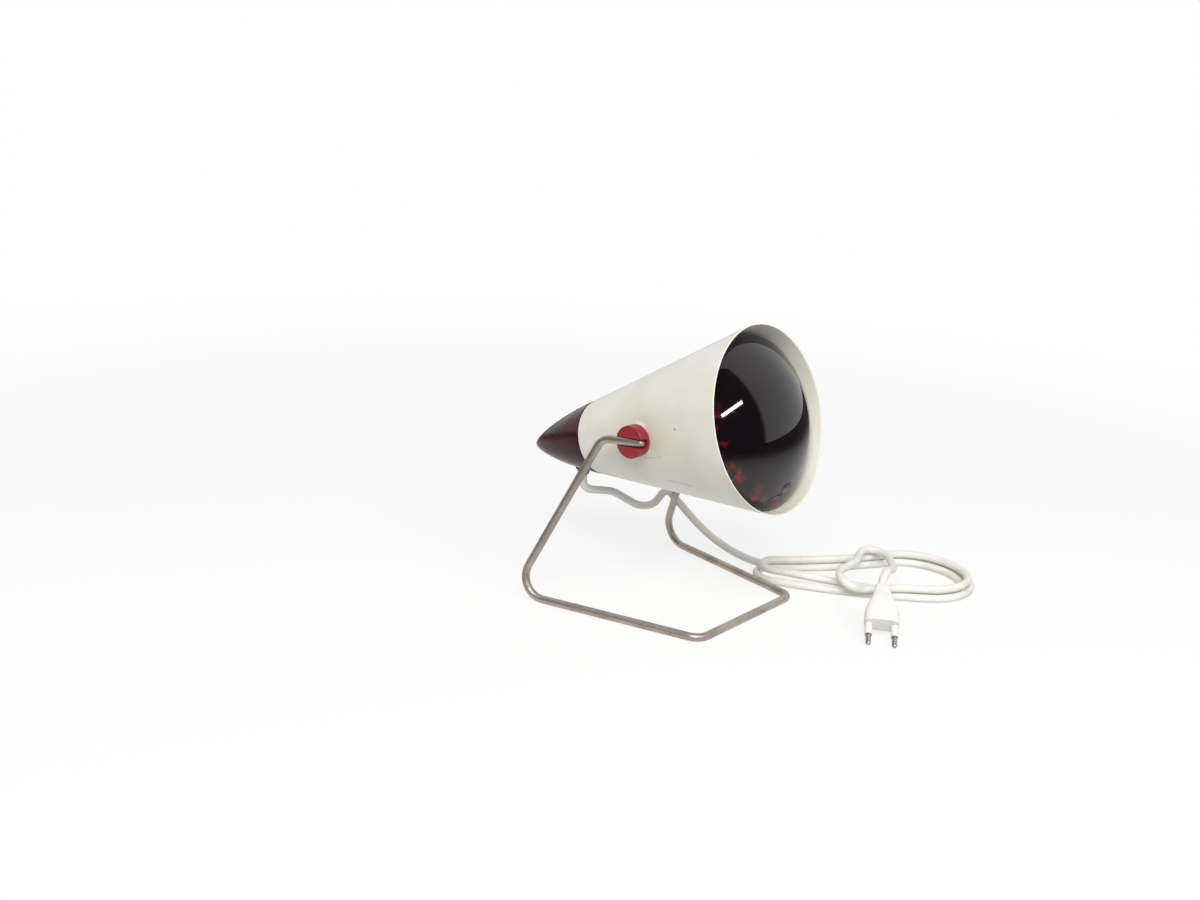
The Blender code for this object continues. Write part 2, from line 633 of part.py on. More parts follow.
def make_bulb():
    """The reflector bulb with the parts inside it."""
    outside = bulb_profile()
    glass = turned("bulb_glass", outside + inner_wall(outside, GLASS_WALL), BULB_SIDES)
    place(glass, RUBY, bulb_axis)
    rim = BULB_TIP + BASE_LENGTH
    foot = BULB_TIP + BASE_FOOT
    root = BASE_RADIUS - THREAD_DEPTH
    thread = [(root, rim)]
    turns = int((BASE_LENGTH - BASE_FOOT) / THREAD_PITCH) - 1
    for half_turn in range(2 * turns):
        radius = BASE_RADIUS if half_turn % 2 else root
        thread.append((radius, rim - THREAD_PITCH * (1 + half_turn / 2)))
    bore = root - BASE_WALL
    thread += [(BASE_LIP_RADIUS + BASE_WALL, foot), (BASE_LIP_RADIUS - BASE_WALL, foot),
               (BASE_LIP_RADIUS - BASE_WALL, foot + BASE_WALL),
               (bore, foot + THREAD_PITCH), (bore, rim), (root, rim)]
    place(turned("bulb_base", thread, HOLDER_SIDES), ALUMINIUM, bulb_axis)
    insulator_top = foot - GAP
    insulator_end = BULB_TIP + TIP_HEIGHT + GAP
    hole = TIP_STEM_RADIUS + GAP
    insulator = turned("bulb_insulator", [
        (hole, insulator_top), (BASE_LIP_RADIUS, insulator_top),
        (TIP_RADIUS + GAP, insulator_end), (hole, insulator_end), (hole, insulator_top)], ROUND)
    place(insulator, BLACK_GLASS, bulb_axis)
    tip = turned("bulb_tip", [(0, insulator_top), (TIP_STEM_RADIUS, insulator_top),
                              (TIP_STEM_RADIUS, BULB_TIP + TIP_HEIGHT),
                              (TIP_RADIUS, BULB_TIP + TIP_HEIGHT),
                              (TIP_RADIUS / 2, BULB_TIP), (0, BULB_TIP)], COARSE)
    place(tip, BRASS, bulb_axis)
    # The stem's flare closes the neck, as the glass maker seals it
    flare = root - BASE_WALL - GLASS_WALL - 2 * GAP
    flare_end = BULB_TIP + BASE_LENGTH / 2 + GLASS_WALL
    stem_top = flare_end + STEM_LENGTH
    stem = turned("bulb_stem", [(0, stem_top), (STEM_RADIUS, stem_top),
                                (STEM_RADIUS, flare_end + 2 * flare / 3),
                                (flare, flare_end + GLASS_WALL), (flare, flare_end),
                                (0, flare_end)], ROUND // 2)
    place(stem, CLEAR, bulb_axis)
    focus = stem_top + 2 * FILAMENT_RING
    coil = []
    for step in range(FILAMENT_STEPS + 1):
        angle = FILAMENT_OPENING / 2 + (2 * math.pi - FILAMENT_OPENING) * step / FILAMENT_STEPS
        coil.append((FILAMENT_RING * math.sin(angle), -FILAMENT_RING * math.cos(angle), focus))
    place(tube("filament", coil, FILAMENT_RADIUS, 1), TUNGSTEN, bulb_axis)
    for word, side in (("right", -1), ("left", 1)):
        end = coil[0] if side > 0 else coil[-1]
        reach = focus - FILAMENT_RADIUS - GAP
        wire = smooth_path([(side * STEM_RADIUS / 2, 0, stem_top + GAP),
                            (side * STEM_RADIUS / 2, 0, stem_top + FILAMENT_RING / 2),
                            (end[0], end[1], reach - FILAMENT_RING / 2),
                            (end[0], end[1], reach)], FILAMENT_RING / 4)
        lead = tube("filament_wire_" + word, wire, LEAD_WIRE_RADIUS, 1)
        place(lead, STEEL, bulb_axis)


# Pivots: in each seat a bush; through it a screw from the knob, with washers and a nut
SCREW4_RADIUS = 0.0020      # M4
HEX_FLATS = 0.0070
HEX_HEAD_HEIGHT = 0.0024
NUT_HEIGHT = 0.0032
SCREW_END = 0.0008          # screw past its nut
BUSH_FLANGE_RADIUS = 0.0055
BUSH_FLANGE = 0.0010
WASHER_THICKNESS = 0.0008
SPRING_RADIUS = 0.0045
SPRING_DISH = 0.0005
SPRING_THICKNESS = 0.0004
KNOB_CORNER = 0.0009
HEX_SHARE = 1 / math.cos(math.pi / 6)   # corner radius of a hexagon over half its flats
KNOB_BACK = SEAT_HALF + GAP
KNOB_FACE = KNOB_BACK + KNOB_HEIGHT
WIRE_RADIUS = WIRE_DIAMETER / 2
WIRE_AT_PIVOT = KNOB_FACE - WIRE_RADIUS + WIRE_PROUD
STEPS_OF_U = 12


def stub_way(side):
    """Direction of the wire through a knob, from its tip to the upper bend."""
    return Vector((side * (SHOULDER_HALF - WIRE_AT_PIVOT), SHOULDER_BACK,
                   -SHOULDER_DROP)).normalized()


def wire_slot(name, side):
    """A round-bottomed slot, open outwards and to the rear, for the wire's end."""
    way = stub_way(side)
    half = WIRE_RADIUS + GAP
    start = PIVOT + Vector((side * WIRE_AT_PIVOT, 0, 0)) - way * (STUB_REACH - WIRE_RADIUS)
    frame = aimed(start, way, up=(side, 0, 0))
    bm = bmesh.new()
    outline = [(KNOB_HEIGHT, -half)]
    for step in range(STEPS_OF_U + 1):
        angle = math.pi * step / STEPS_OF_U
        outline.append((-half * math.sin(angle), -half * math.cos(angle)))
    outline.append((KNOB_HEIGHT, half))
    face = bm.faces.new([bm.verts.new((x, y, 0)) for x, y in outline])
    length = STUB_REACH + KNOB_RADIUS + OVERRUN
    grown = bmesh.ops.extrude_face_region(bm, geom=[face])
    moved = [v for v in grown["geom"] if isinstance(v, bmesh.types.BMVert)]
    bmesh.ops.translate(bm, vec=(0, 0, length), verts=moved)
    bmesh.ops.recalc_face_normals(bm, faces=bm.faces)
    channel = tool(new_object(name, bm), matrix=frame)
    nose = [(0, KNOB_HEIGHT), (half, KNOB_HEIGHT)]
    for step in range(STEPS_OF_U // 2 + 1):
        angle = math.pi / 2 * step / (STEPS_OF_U // 2)
        nose.append((half * math.cos(angle), -half * math.sin(angle)))
    nose[-1] = (0, nose[-1][1])
    outward = aimed(start, (side, 0, 0), up=way)
    return channel, tool(turned(name + "_nose", nose, 2 * STEPS_OF_U), matrix=outward)


def make_pivot(word, side):
    """One side's knob and screw, and the bush, washers and nut behind the seat."""
    outward = Matrix.Translation(PIVOT) @ aimed((0, 0, 0), (side, 0, 0), up=(0, 0, 1))
    knob = prism("knob_" + word, KNOB_RADIUS, BULB_SIDES, KNOB_FACE, KNOB_BACK, KNOB_CORNER)
    place(knob, RED_PLASTIC, matrix=outward)
    for cutter in wire_slot("wire_slot_" + word, side):
        boolean(knob, cutter)
    hexagon = HEX_FLATS / 2 * HEX_SHARE
    pocket = prism("screw_pocket_" + word, (HEX_FLATS / 2 + GAP) * HEX_SHARE, 6,
                   KNOB_BACK + HEX_HEAD_HEIGHT + GAP, KNOB_BACK - OVERRUN)
    boolean(knob, tool(pocket, matrix=outward))
    flange_top = SEAT_HALF - SHADE_WALL - GAP
    flange_end = flange_top - BUSH_FLANGE
    bore = SCREW4_RADIUS + GAP
    body = BUSH_HOLE_RADIUS - GAP
    bush = turned("pivot_bush_" + word, [
        (bore, SEAT_HALF), (body, SEAT_HALF), (body, flange_top),
        (BUSH_FLANGE_RADIUS, flange_top), (BUSH_FLANGE_RADIUS, flange_end),
        (bore, flange_end), (bore, SEAT_HALF)], ROUND // 2)
    place(bush, FIBRE, tilt_axis, matrix=sideways(side))
    washer_top = flange_end - GAP
    washer_end = washer_top - WASHER_THICKNESS
    washer = turned("pivot_washer_" + word,
                    ring(BUSH_FLANGE_RADIUS, bore, washer_top, washer_end), ROUND // 2)
    place(washer, STEEL, matrix=outward)
    spring_top = washer_end - GAP
    spring_end = spring_top - SPRING_DISH - SPRING_THICKNESS
    spring = turned("spring_washer_" + word, [
        (bore, spring_top), (SPRING_RADIUS, spring_top - SPRING_DISH),
        (SPRING_RADIUS, spring_end), (bore, spring_top - SPRING_THICKNESS),
        (bore, spring_top)], ROUND // 2)
    place(spring, STEEL, matrix=outward)
    nut_top = spring_end - GAP
    nut_end = nut_top - NUT_HEIGHT
    nut = place(prism("pivot_nut_" + word, hexagon, 6, nut_top, nut_end), STEEL, matrix=outward)
    thread = prism("nut_bore_" + word, bore, COARSE, nut_top + OVERRUN, nut_end - OVERRUN)
    boolean(nut, tool(thread, matrix=outward))
    head = prism("pivot_screw_" + word, hexagon, 6, KNOB_BACK + HEX_HEAD_HEIGHT, KNOB_BACK)
    place(head, STEEL, matrix=outward)
    shank = prism("screw_shank_" + word, SCREW4_RADIUS, COARSE,
                  KNOB_BACK + HEX_HEAD_HEIGHT / 2, nut_end - SCREW_END)
    boolean(head, tool(shank, matrix=outward), "UNION")


# Stand: one rod bent from the right knob round the foot to the left knob
REAR_BEND = 0.0165
FRONT_BEND = 0.0110
SHOULDER_BEND = 0.0110
WIRE_SIDES = 12
BEND_STEPS = 6
FOOT_HEIGHT = WIRE_RADIUS - FOOT_FLAT     # rod's axis above the table
DOME_ANGLES = [math.radians(a) for a in (20, 45, 70)]


def solid_rod(obj):
    """A curve's tube as one closed mesh, so that it can be cut."""
    parts.objects.link(obj)
    graph = bpy.context.evaluated_depsgraph_get()
    mesh = bpy.data.meshes.new_from_object(obj.evaluated_get(graph))
    bm = bmesh.new()
    bm.from_mesh(mesh)
    bmesh.ops.remove_doubles(bm, verts=bm.verts, dist=MERGE)
    bmesh.ops.recalc_face_normals(bm, faces=bm.faces)
    name = obj.name
    matrix = obj.matrix_world.copy()
    bpy.data.objects.remove(obj, do_unlink=True)
    solid = new_object(name, bm)
    solid.matrix_world = matrix
    return solid


def stand_corner(side, across, behind, height):
    """A corner of the rod on one side of the lamp."""
    return Vector((side * across, PIVOT.y + behind, height))


def stand_path():
    """The rod's points, with each point's share of its radius for the domed ends."""
    halves = []
    for side in (-1, 1):
        middle = PIVOT + Vector((side * WIRE_AT_PIVOT, 0, 0))
        halves.append([middle - stub_way(side) * STUB_REACH,
                       stand_corner(side, SHOULDER_HALF, SHOULDER_BACK,
                                    PIVOT_HEIGHT - SHOULDER_DROP),
                       stand_corner(side, FOOT_REAR_HALF, FOOT_REAR, FOOT_HEIGHT),
                       stand_corner(side, FOOT_FRONT_HALF, -FOOT_FRONT, FOOT_HEIGHT)])
    bends = [SHOULDER_BEND, REAR_BEND, FRONT_BEND]
    points = rounded(halves[0] + halves[1][::-1], bends + bends[::-1], BEND_STEPS)
    dome = [(WIRE_RADIUS * (1 - math.cos(a)), math.sin(a)) for a in DOME_ANGLES]
    dome.append((WIRE_RADIUS, 1.0))
    starts = []
    ends = []
    for along, share in dome:
        starts.append((points[0] + stub_way(-1) * along, share))
        ends.append((points[-1] + stub_way(1) * along, share))
    whole = starts + [(p, 1.0) for p in points[1:-1]] + ends[::-1]
    return [p for p, share in whole], [share for p, share in whole]


def make_stand():
    """The rod, with a narrow flat where it lies on the table."""
    points, shares = stand_path()
    across = WIRE_RADIUS / math.cos(math.pi / WIRE_SIDES)
    rod = solid_rod(tube("stand_wire", points, across, (WIRE_SIDES - 4) // 2, shares))
    place(rod, NICKEL)
    length = 2 * (FOOT_FRONT + FOOT_REAR)
    table = box("table_flat", (length, length, WIRE_DIAMETER), (0, 0, -WIRE_RADIUS))
    boolean(rod, tool(table))


make_plate()
make_holder()
make_bulb()
make_pivot("right", -1)
make_pivot("left", 1)
make_stand()


# Cord: a bush in the cap, the end inside it and the clamp's two cores
BUSH_OUT = 0.0050           # bush outside the cap
BUSH_IN = 0.0080            # bush inside the cap's surface
BUSH_LIP = 0.0010           # rubber round the cord at the bush's tip
COLLAR_RADIUS = 0.0064
COLLAR_THICKNESS = 0.0012
CORE_RADIUS = 0.0011
CORE_OUT = 0.0014           # core's middle beside the cord's middle
CORD_POINTS_APART = 2.4     # diameters between the free stretch's points
TAIL_POINTS_APART = 1.2     # and between the tail's, which bends tighter
CORD_SIDES = 2              # bevel resolution of a plain cord: eight sides
INNER_BEND = 4.0            # diameters, its bend inside the cap


def make_cord_entry():
    """The rubber bush, the cord's end in the cap, and its two cores to the terminals."""
    across = EXIT_RADIUS - CAP_WALL
    inner_fall = across - math.sqrt(across ** 2 - COLLAR_RADIUS ** 2)
    outer_top = GAP + COLLAR_THICKNESS
    inner_top = -CAP_WALL - inner_fall - GAP
    bush = turned("cord_bush", [
        (CORD_BORE, BUSH_OUT), (CORD_BORE + BUSH_LIP, BUSH_OUT),
        (BUSH_BODY_RADIUS, outer_top), (COLLAR_RADIUS, outer_top), (COLLAR_RADIUS, GAP),
        (BUSH_BODY_RADIUS, GAP), (BUSH_BODY_RADIUS, inner_top), (COLLAR_RADIUS, inner_top),
        (COLLAR_RADIUS, inner_top - COLLAR_THICKNESS), (CORD_BORE + BUSH_LIP, -BUSH_IN),
        (CORD_BORE, -BUSH_IN), (CORD_BORE, BUSH_OUT)], ROUND // 2)
    place(bush, GREY_RUBBER, tilt_axis, matrix=exit_frame)
    clamp_y = -CLAMP_DOWN - BULB_DROP
    sheath_end = Vector((0, clamp_y + CLAMP_WIDTH, CORD_BED))
    bend = EXIT_POINT - EXIT_WAY * ((EXIT_POINT.z - CORD_BED) / EXIT_WAY.z)
    path = rounded([EXIT_POINT + EXIT_WAY * BUSH_OUT, bend, sheath_end],
                   [INNER_BEND * CORD_DIAMETER], BEND_STEPS)
    inner = tube("cord_inner", path, CORD_DIAMETER / 2, CORD_SIDES)
    place(inner, CORD_PVC, tilt_axis)
    for word, side, colour in (("live", 1, BROWN_PVC), ("neutral", -1, BLUE_PVC)):
        start = sheath_end + Vector((side * CORE_OUT, GAP, 0))
        head_side = TERMINAL_UP - BULB_DROP - SCREW_HEAD_RADIUS - GAP
        end = Vector((side * TERMINAL_OUT, head_side, HOLDER_BACK - GAP - CORE_RADIUS))
        core = [start, start + Vector((0, CORE_RADIUS, 0)),
                end - Vector((0, 2 * CORE_RADIUS, 0)), end]
        lead = tube("lead_" + word, smooth_path(core, CORE_RADIUS * 1.5), CORE_RADIUS, 1)
        place(lead, colour, tilt_axis)


# Cord: the free stretch, round behind the left leg and down to the hank. Points are
# (across, behind the pivot, height), chosen by eye
DROP_ROUTE = [
    (0.0015, 0.0890, 0.0640), (0.0060, 0.0868, 0.0605), (0.0140, 0.0830, 0.0590),
    (0.0240, 0.0775, 0.0570), (0.0330, 0.0705, 0.0510), (0.0400, 0.0645, 0.0460),
    (0.0490, 0.0610, 0.0440), (0.0590, 0.0610, 0.0440), (0.0690, 0.0635, 0.0460),
    (0.0780, 0.0660, 0.0480), (0.0872, 0.0665, 0.0462), (0.0960, 0.0607, 0.0355),
    (0.1025, 0.0490, 0.0222), (0.1062, 0.0340, 0.0115), (0.1066, 0.0180, 0.0058),
    (0.1046, 0.0020, 0.0036), (0.1028, -0.0125, 0.0032), (0.1050, -0.0232, 0.00315)]
# Hank: loops wound in and out in two layers, narrower at one end
HANK_LENGTH = 0.1820
HANK_NARROW = 0.0225        # radius of its outermost turn at the narrow end
HANK_WIDE = 0.0460
HANK_START = Vector((0.0800, -0.0230, 0.0))     # narrow end, from the pivot's foot
HANK_HEADING = math.radians(-60)                # its heading there
HANK_TURN = math.radians(30)                    # how far its heading swings to the far end
HANK_PITCH = 0.0078         # between turns of a layer
HANK_LAYER = 0.0069         # between layers
HANK_POINTS = 24            # points in a loop
HANK_FIRST = 0.19           # turns, from the narrow tip, where the hank begins
HANK_TURNS_BACK = 1.75      # where it climbs a layer and spirals out again
HANK_LAST = 2.69            # and where it ends


def smooth_step(t):
    """Eases from 0 to 1."""
    t = min(max(t, 0.0), 1.0)
    return t * t * (3 - 2 * t)


def on_hank(along, aside, height):
    """A point beside the hank's bent middle line, in the lamp's own frame."""
    bend = HANK_TURN / HANK_LENGTH
    heading = HANK_HEADING + bend * along
    x = HANK_START.x + (math.sin(heading) - math.sin(HANK_HEADING)) / bend
    y = HANK_START.y - (math.cos(heading) - math.cos(HANK_HEADING)) / bend
    return Vector((x - aside * math.sin(heading), PIVOT.y + y + aside * math.cos(heading), height))


def hank_point(turns):
    """Where the hank's middle line is after so many turns from the narrow tip."""
    inset = HANK_PITCH * (HANK_TURNS_BACK - HANK_FIRST - abs(turns - HANK_TURNS_BACK))
    centres = HANK_LENGTH - HANK_NARROW - HANK_WIDE
    lean = math.asin((HANK_WIDE - HANK_NARROW) / centres)
    t = (turns + 0.5) % 1.0 - 0.5
    # A sixth of a turn's points either side of each end lie on its arc, the rest on a run
    sixth = 1 / 6
    if abs(t) < sixth:
        angle = math.pi - t / sixth * (math.pi / 2 - lean)
        middle, radius = HANK_NARROW, HANK_NARROW - inset
        along, aside = middle + radius * math.cos(angle), radius * math.sin(angle)
    elif abs(t) > 2 * sixth:
        past = t - 0.5 if t > 0 else t + 0.5
        angle = -past / sixth * (math.pi / 2 + lean)
        middle, radius = HANK_LENGTH - HANK_WIDE, HANK_WIDE - inset
        along, aside = middle + radius * math.cos(angle), radius * math.sin(angle)
    else:
        share = (abs(t) - sixth) / sixth
        radius = HANK_NARROW - inset + share * (HANK_WIDE - HANK_NARROW)
        along = HANK_NARROW + share * centres - radius * math.sin(lean)
        aside = math.copysign(radius * math.cos(lean), t)
    # The climb between layers takes the whole of a run
    climbed = smooth_step((turns - HANK_TURNS_BACK) / sixth + 0.5)
    return on_hank(along, aside, CORD_DIAMETER / 2 + HANK_LAYER * climbed)


def hank_path():
    """The hank's points, with a straight diameter at each end."""
    count = round((HANK_LAST - HANK_FIRST) * HANK_POINTS)
    points = [hank_point(HANK_FIRST + (HANK_LAST - HANK_FIRST) * i / count)
              for i in range(count + 1)]
    first = (points[0] - points[1]).normalized() * CORD_DIAMETER
    last = (points[-1] - points[-2]).normalized() * CORD_DIAMETER
    return [points[0] + first] + points + [points[-1] + last]


def least_gap(points, apart):
    """Least clearance of a cord to itself between places further apart than a length."""
    fine = resampled(points, CORD_DIAMETER / 4)
    step = CORD_DIAMETER / 4
    skip = math.ceil(apart / step)
    least = math.inf
    for i, a in enumerate(fine):
        for b in fine[i + skip:]:
            least = min(least, (a - b).length)
    return least - CORD_DIAMETER


# Tail: up from the hank's near side, over it, round and back to the plug. Points are
# (along the hank, aside from its middle line, height), chosen by eye
TAIL_ROUTE = [
    (0.0835, -0.0400, 0.0104), (0.0765, -0.0415, 0.0110), (0.0695, -0.0395, 0.0135),
    (0.0655, -0.0330, 0.0170), (0.0670, -0.0250, 0.0188), (0.0725, -0.0165, 0.0188),
    (0.0790, -0.0080, 0.0182), (0.0850, 0.0010, 0.0176), (0.0900, 0.0110, 0.0174),
    (0.0945, 0.0210, 0.0174), (0.1010, 0.0285, 0.0174), (0.1095, 0.0290, 0.0174),
    (0.1155, 0.0225, 0.0174), (0.1165, 0.0125, 0.0175), (0.1140, 0.0010, 0.0182),
    (0.1105, -0.0110, 0.0196), (0.1065, -0.0230, 0.0222), (0.1020, -0.0350, 0.0255),
    (0.0970, -0.0460, 0.0290), (0.0925, -0.0560, 0.0320), (0.0885, -0.0650, 0.0338)]
# Plug: a flat moulded two-pin plug that stands on its pins' tips
PLUG_FACE = Vector((0.0452, -0.1604, 0.0104))   # middle of its face, from the pivot's foot
PLUG_HEADING = math.radians(30.7)
PLUG_SLOPE = math.radians(28)
PLUG_LENGTH = 0.0360
PLUG_WIDTH = 0.0250
PLUG_THICKNESS = 0.0140
PIN_SPACING = 0.0186
PIN_LENGTH = 0.0190
PIN_RADIUS = 0.0020
PIN_ROOT = 0.0060           # pin inside the plug
SLEEVE_LENGTH = 0.0100
SLEEVE_WALL = 0.0005
# Along the plug from its face: share of its length, of its width and of its thickness
PLUG_SHAPE_SHARES = [(0.0, 0.93, 0.90), (0.05, 1.0, 1.0), (0.30, 1.0, 1.0), (0.50, 0.90, 0.94),
                     (0.68, 0.66, 0.84), (0.84, 0.47, 0.76), (1.0, 0.40, 0.71)]
PLUG_RING = 20              # points round the plug
PLUG_SQUARENESS = 0.55      # exponent of its rounded-oblong section

plug_way = Vector((math.cos(PLUG_SLOPE) * math.cos(PLUG_HEADING),
                   math.cos(PLUG_SLOPE) * math.sin(PLUG_HEADING), math.sin(PLUG_SLOPE)))
plug_across = Vector((math.sin(PLUG_HEADING), -math.cos(PLUG_HEADING), 0))
plug_frame = aimed(PLUG_FACE + Vector((0, PIVOT.y, 0)), plug_way, up=plug_across)


def make_plug():
    """The moulded body, and on each side a pin in a half-length sleeve."""
    bm = bmesh.new()
    rings = []
    for along, wide, thick in PLUG_SHAPE_SHARES:
        loop = []
        for i in range(PLUG_RING):
            angle = 2 * math.pi * i / PLUG_RING
            x = math.copysign(abs(math.cos(angle)) ** PLUG_SQUARENESS, math.cos(angle))
            y = math.copysign(abs(math.sin(angle)) ** PLUG_SQUARENESS, math.sin(angle))
            loop.append(bm.verts.new((x * wide * PLUG_WIDTH / 2, y * thick * PLUG_THICKNESS / 2,
                                      along * PLUG_LENGTH)))
        rings.append(loop)
    for lower, upper in zip(rings, rings[1:]):
        for i in range(PLUG_RING):
            j = (i + 1) % PLUG_RING
            bm.faces.new((lower[i], lower[j], upper[j], upper[i]))
    bm.faces.new(rings[0][::-1])
    bm.faces.new(rings[-1])
    plug = place(new_object("plug_body", bm), WHITE_PVC, matrix=plug_frame)
    sleeve_radius = PIN_RADIUS + GAP + SLEEVE_WALL
    for word, side in (("right", -1), ("left", 1)):
        across = plug_frame @ Matrix.Translation((side * PIN_SPACING / 2, 0, 0))
        bore = prism("pin_bore_" + word, PIN_RADIUS + GAP, COARSE, PIN_ROOT + GAP, -OVERRUN)
        boolean(plug, tool(bore, matrix=across))
        pin = prism("plug_pin_" + word, PIN_RADIUS, COARSE, PIN_ROOT, -PIN_LENGTH,
                    PIN_RADIUS / 2)
        place(pin, BRASS, matrix=across)
        sleeve = turned("plug_sleeve_" + word, ring(sleeve_radius, PIN_RADIUS + GAP, -GAP,
                                                    -GAP - SLEEVE_LENGTH), COARSE)
        place(sleeve, WHITE_PVC, matrix=across)


def make_cords():
    """The free stretch, the hank and the tail, which meet end to end."""
    hank = hank_path()
    into = (hank[0] - hank[1]).normalized()
    onward = (hank[-1] - hank[-2]).normalized()
    way = tilt_frame.to_3x3() @ EXIT_WAY
    leaves = tilt_frame @ (EXIT_POINT + EXIT_WAY * (BUSH_OUT + GAP))
    route = [leaves, leaves + way * CORD_DIAMETER]
    route += [Vector((x, PIVOT.y + y, z)) for x, y, z in DROP_ROUTE]
    route += [hank[0] + into * (CORD_DIAMETER + GAP), hank[0] + into * GAP]
    drop = smooth_path(route, CORD_DIAMETER * CORD_POINTS_APART)
    plug_end = plug_frame @ Vector((0, 0, PLUG_LENGTH + GAP))
    route = [hank[-1] + onward * GAP, hank[-1] + onward * (CORD_DIAMETER + GAP)]
    route += [on_hank(*place_on_hank) for place_on_hank in TAIL_ROUTE]
    route += [plug_end + plug_way * CORD_DIAMETER, plug_end]
    tail = smooth_path(route, CORD_DIAMETER * TAIL_POINTS_APART)
    place(tube("cord_drop", drop, CORD_DIAMETER / 2, CORD_SIDES), CORD_PVC)
    place(tube("cord_hank", hank, CORD_DIAMETER / 2, 1), CORD_PVC)
    place(tube("cord_tail", tail, CORD_DIAMETER / 2, CORD_SIDES), CORD_PVC)
    gap = least_gap(hank, 3 * CORD_DIAMETER)
    print(f"hank: least gap to itself {gap * 1000:.2f} mm")


make_cord_entry()
make_plug()
make_cords()
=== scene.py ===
import json
import math

import bpy
from mathutils import Matrix, Vector


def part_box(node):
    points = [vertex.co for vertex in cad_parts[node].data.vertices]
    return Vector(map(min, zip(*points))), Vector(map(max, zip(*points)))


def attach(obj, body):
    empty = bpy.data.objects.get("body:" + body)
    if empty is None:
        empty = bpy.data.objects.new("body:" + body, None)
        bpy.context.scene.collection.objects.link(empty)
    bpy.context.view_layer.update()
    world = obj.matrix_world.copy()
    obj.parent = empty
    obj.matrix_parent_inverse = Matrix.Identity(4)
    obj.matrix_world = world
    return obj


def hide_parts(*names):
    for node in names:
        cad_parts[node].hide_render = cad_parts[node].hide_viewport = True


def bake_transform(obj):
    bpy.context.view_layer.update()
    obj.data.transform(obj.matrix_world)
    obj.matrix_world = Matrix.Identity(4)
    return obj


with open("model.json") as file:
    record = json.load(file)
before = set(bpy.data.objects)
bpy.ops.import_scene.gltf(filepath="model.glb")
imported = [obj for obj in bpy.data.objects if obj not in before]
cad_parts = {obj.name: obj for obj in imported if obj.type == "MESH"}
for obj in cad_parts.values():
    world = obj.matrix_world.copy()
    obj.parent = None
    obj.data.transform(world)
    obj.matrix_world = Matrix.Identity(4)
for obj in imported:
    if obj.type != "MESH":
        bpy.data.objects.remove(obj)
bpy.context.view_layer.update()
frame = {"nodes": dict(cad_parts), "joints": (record.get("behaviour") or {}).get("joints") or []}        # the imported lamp: its stand, its head, and the joint between them

# Camera: at the photograph's place, in front of the lamp's right side and a little above it,
# held slightly askew. The lens is the one that the lamp's own outlines fit.
CAMERA_PLACE = (-0.7845, -0.5782, 0.3820)
CAMERA_AZIMUTH = math.radians(-51.19)
CAMERA_FALL = math.radians(90 - 15.80)
CAMERA_ROLL = math.radians(3.52)
LENS_MM = 39.95
camera_turn = (Matrix.Rotation(CAMERA_AZIMUTH, 4, "Z") @ Matrix.Rotation(CAMERA_FALL, 4, "X")
               @ Matrix.Rotation(CAMERA_ROLL, 4, "Z"))
bpy.ops.object.camera_add(location=CAMERA_PLACE, rotation=camera_turn.to_euler())
camera = bpy.context.object
camera.data.lens = LENS_MM
camera.data.clip_start = 0.01
bpy.context.scene.camera = camera
bpy.context.scene.view_settings.view_transform = "Standard"


def linear(colour):
    """An sRGB hex colour as the linear colour that a shader takes."""
    channels = [int(colour[i:i + 2], 16) / 255 for i in (0, 2, 4)]
    return [c / 12.92 if c <= 0.04045 else ((c + 0.055) / 1.055) ** 2.4 for c in channels] + [1]


def node(tree, kind, inputs=None, **settings):
    """Adds a node: its settings first, then each input as a value or a link from a socket."""
    made = tree.nodes.new("ShaderNode" + kind)
    for setting, value in settings.items():
        setattr(made, setting, value)
    for socket, value in (inputs or {}).items():
        if isinstance(value, bpy.types.NodeSocket):
            tree.links.new(value, made.inputs[socket])
        else:
            made.inputs[socket].default_value = value
    return made


# Studio: a pale floor that keeps the lamp's soft shadow, a white surround, a broad key light
# up to the left of the camera, and a short bright strip that the bulb's front mirrors
FLOOR_SIZE = 12.0
FLOOR_PALE = "F6F5F3"
SURROUND_FILL = 0.47        # the surround's light on the lamp, where 1 is white
FLOOR_GLOW_SHARE = 0.78     # share of the floor's white that no shadow takes away
FLOOR_FADE = (0.45, 1.40)   # from here to here, from the middle, the floor turns all white
PAPER_FADE = (0.30, 0.95)   # from here to here, what is mirrored turns from paper to dark table
TABLE_DARK = 0.93           # how much darker than the paper the table is
KEY_PLACE = Vector((-1.55, -1.15, 1.75))
KEY_SIZE = 1.1
KEY_WATTS = 44.0
STRIP_PLACE = Vector((-0.140, -0.861, 0.634))
STRIP_ALONG = Vector((0.392, 0.041, 0.090))
STRIP_SIZE = (0.40, 0.042)
STRIP_WATTS = 2.4
# The dark end of the room, behind the camera and to its left, which glass and metal mirror:
# direction from the lamp, distance and width of each cloth, which hangs past the floor
ROOM_CLOTHS = [(math.radians(-28), 2.4, 6.2), (math.radians(-118), 2.6, 3.6)]
ROOM_HEIGHT = 8.0
ROOM_BELOW = 1.0            # cloth past the floor, where its lower edge fades
ROOM_DARK = "4A484B"
CLOTH_FADE = (0.40, 0.50)   # share of its size where a cloth's edge fades
AIM = Vector((0, -0.03, 0.12))


def seen_rays(tree):
    """One for camera, mirror and glass rays, and nought for the rest."""
    path = node(tree, "LightPath")
    mirrored = node(tree, "Math", {0: path.outputs["Is Camera Ray"],
                                   1: path.outputs["Is Glossy Ray"]}, operation="MAXIMUM")
    through = node(tree, "Math", {0: mirrored.outputs[0],
                                  1: path.outputs["Is Transmission Ray"]}, operation="MAXIMUM")
    return through.outputs[0]


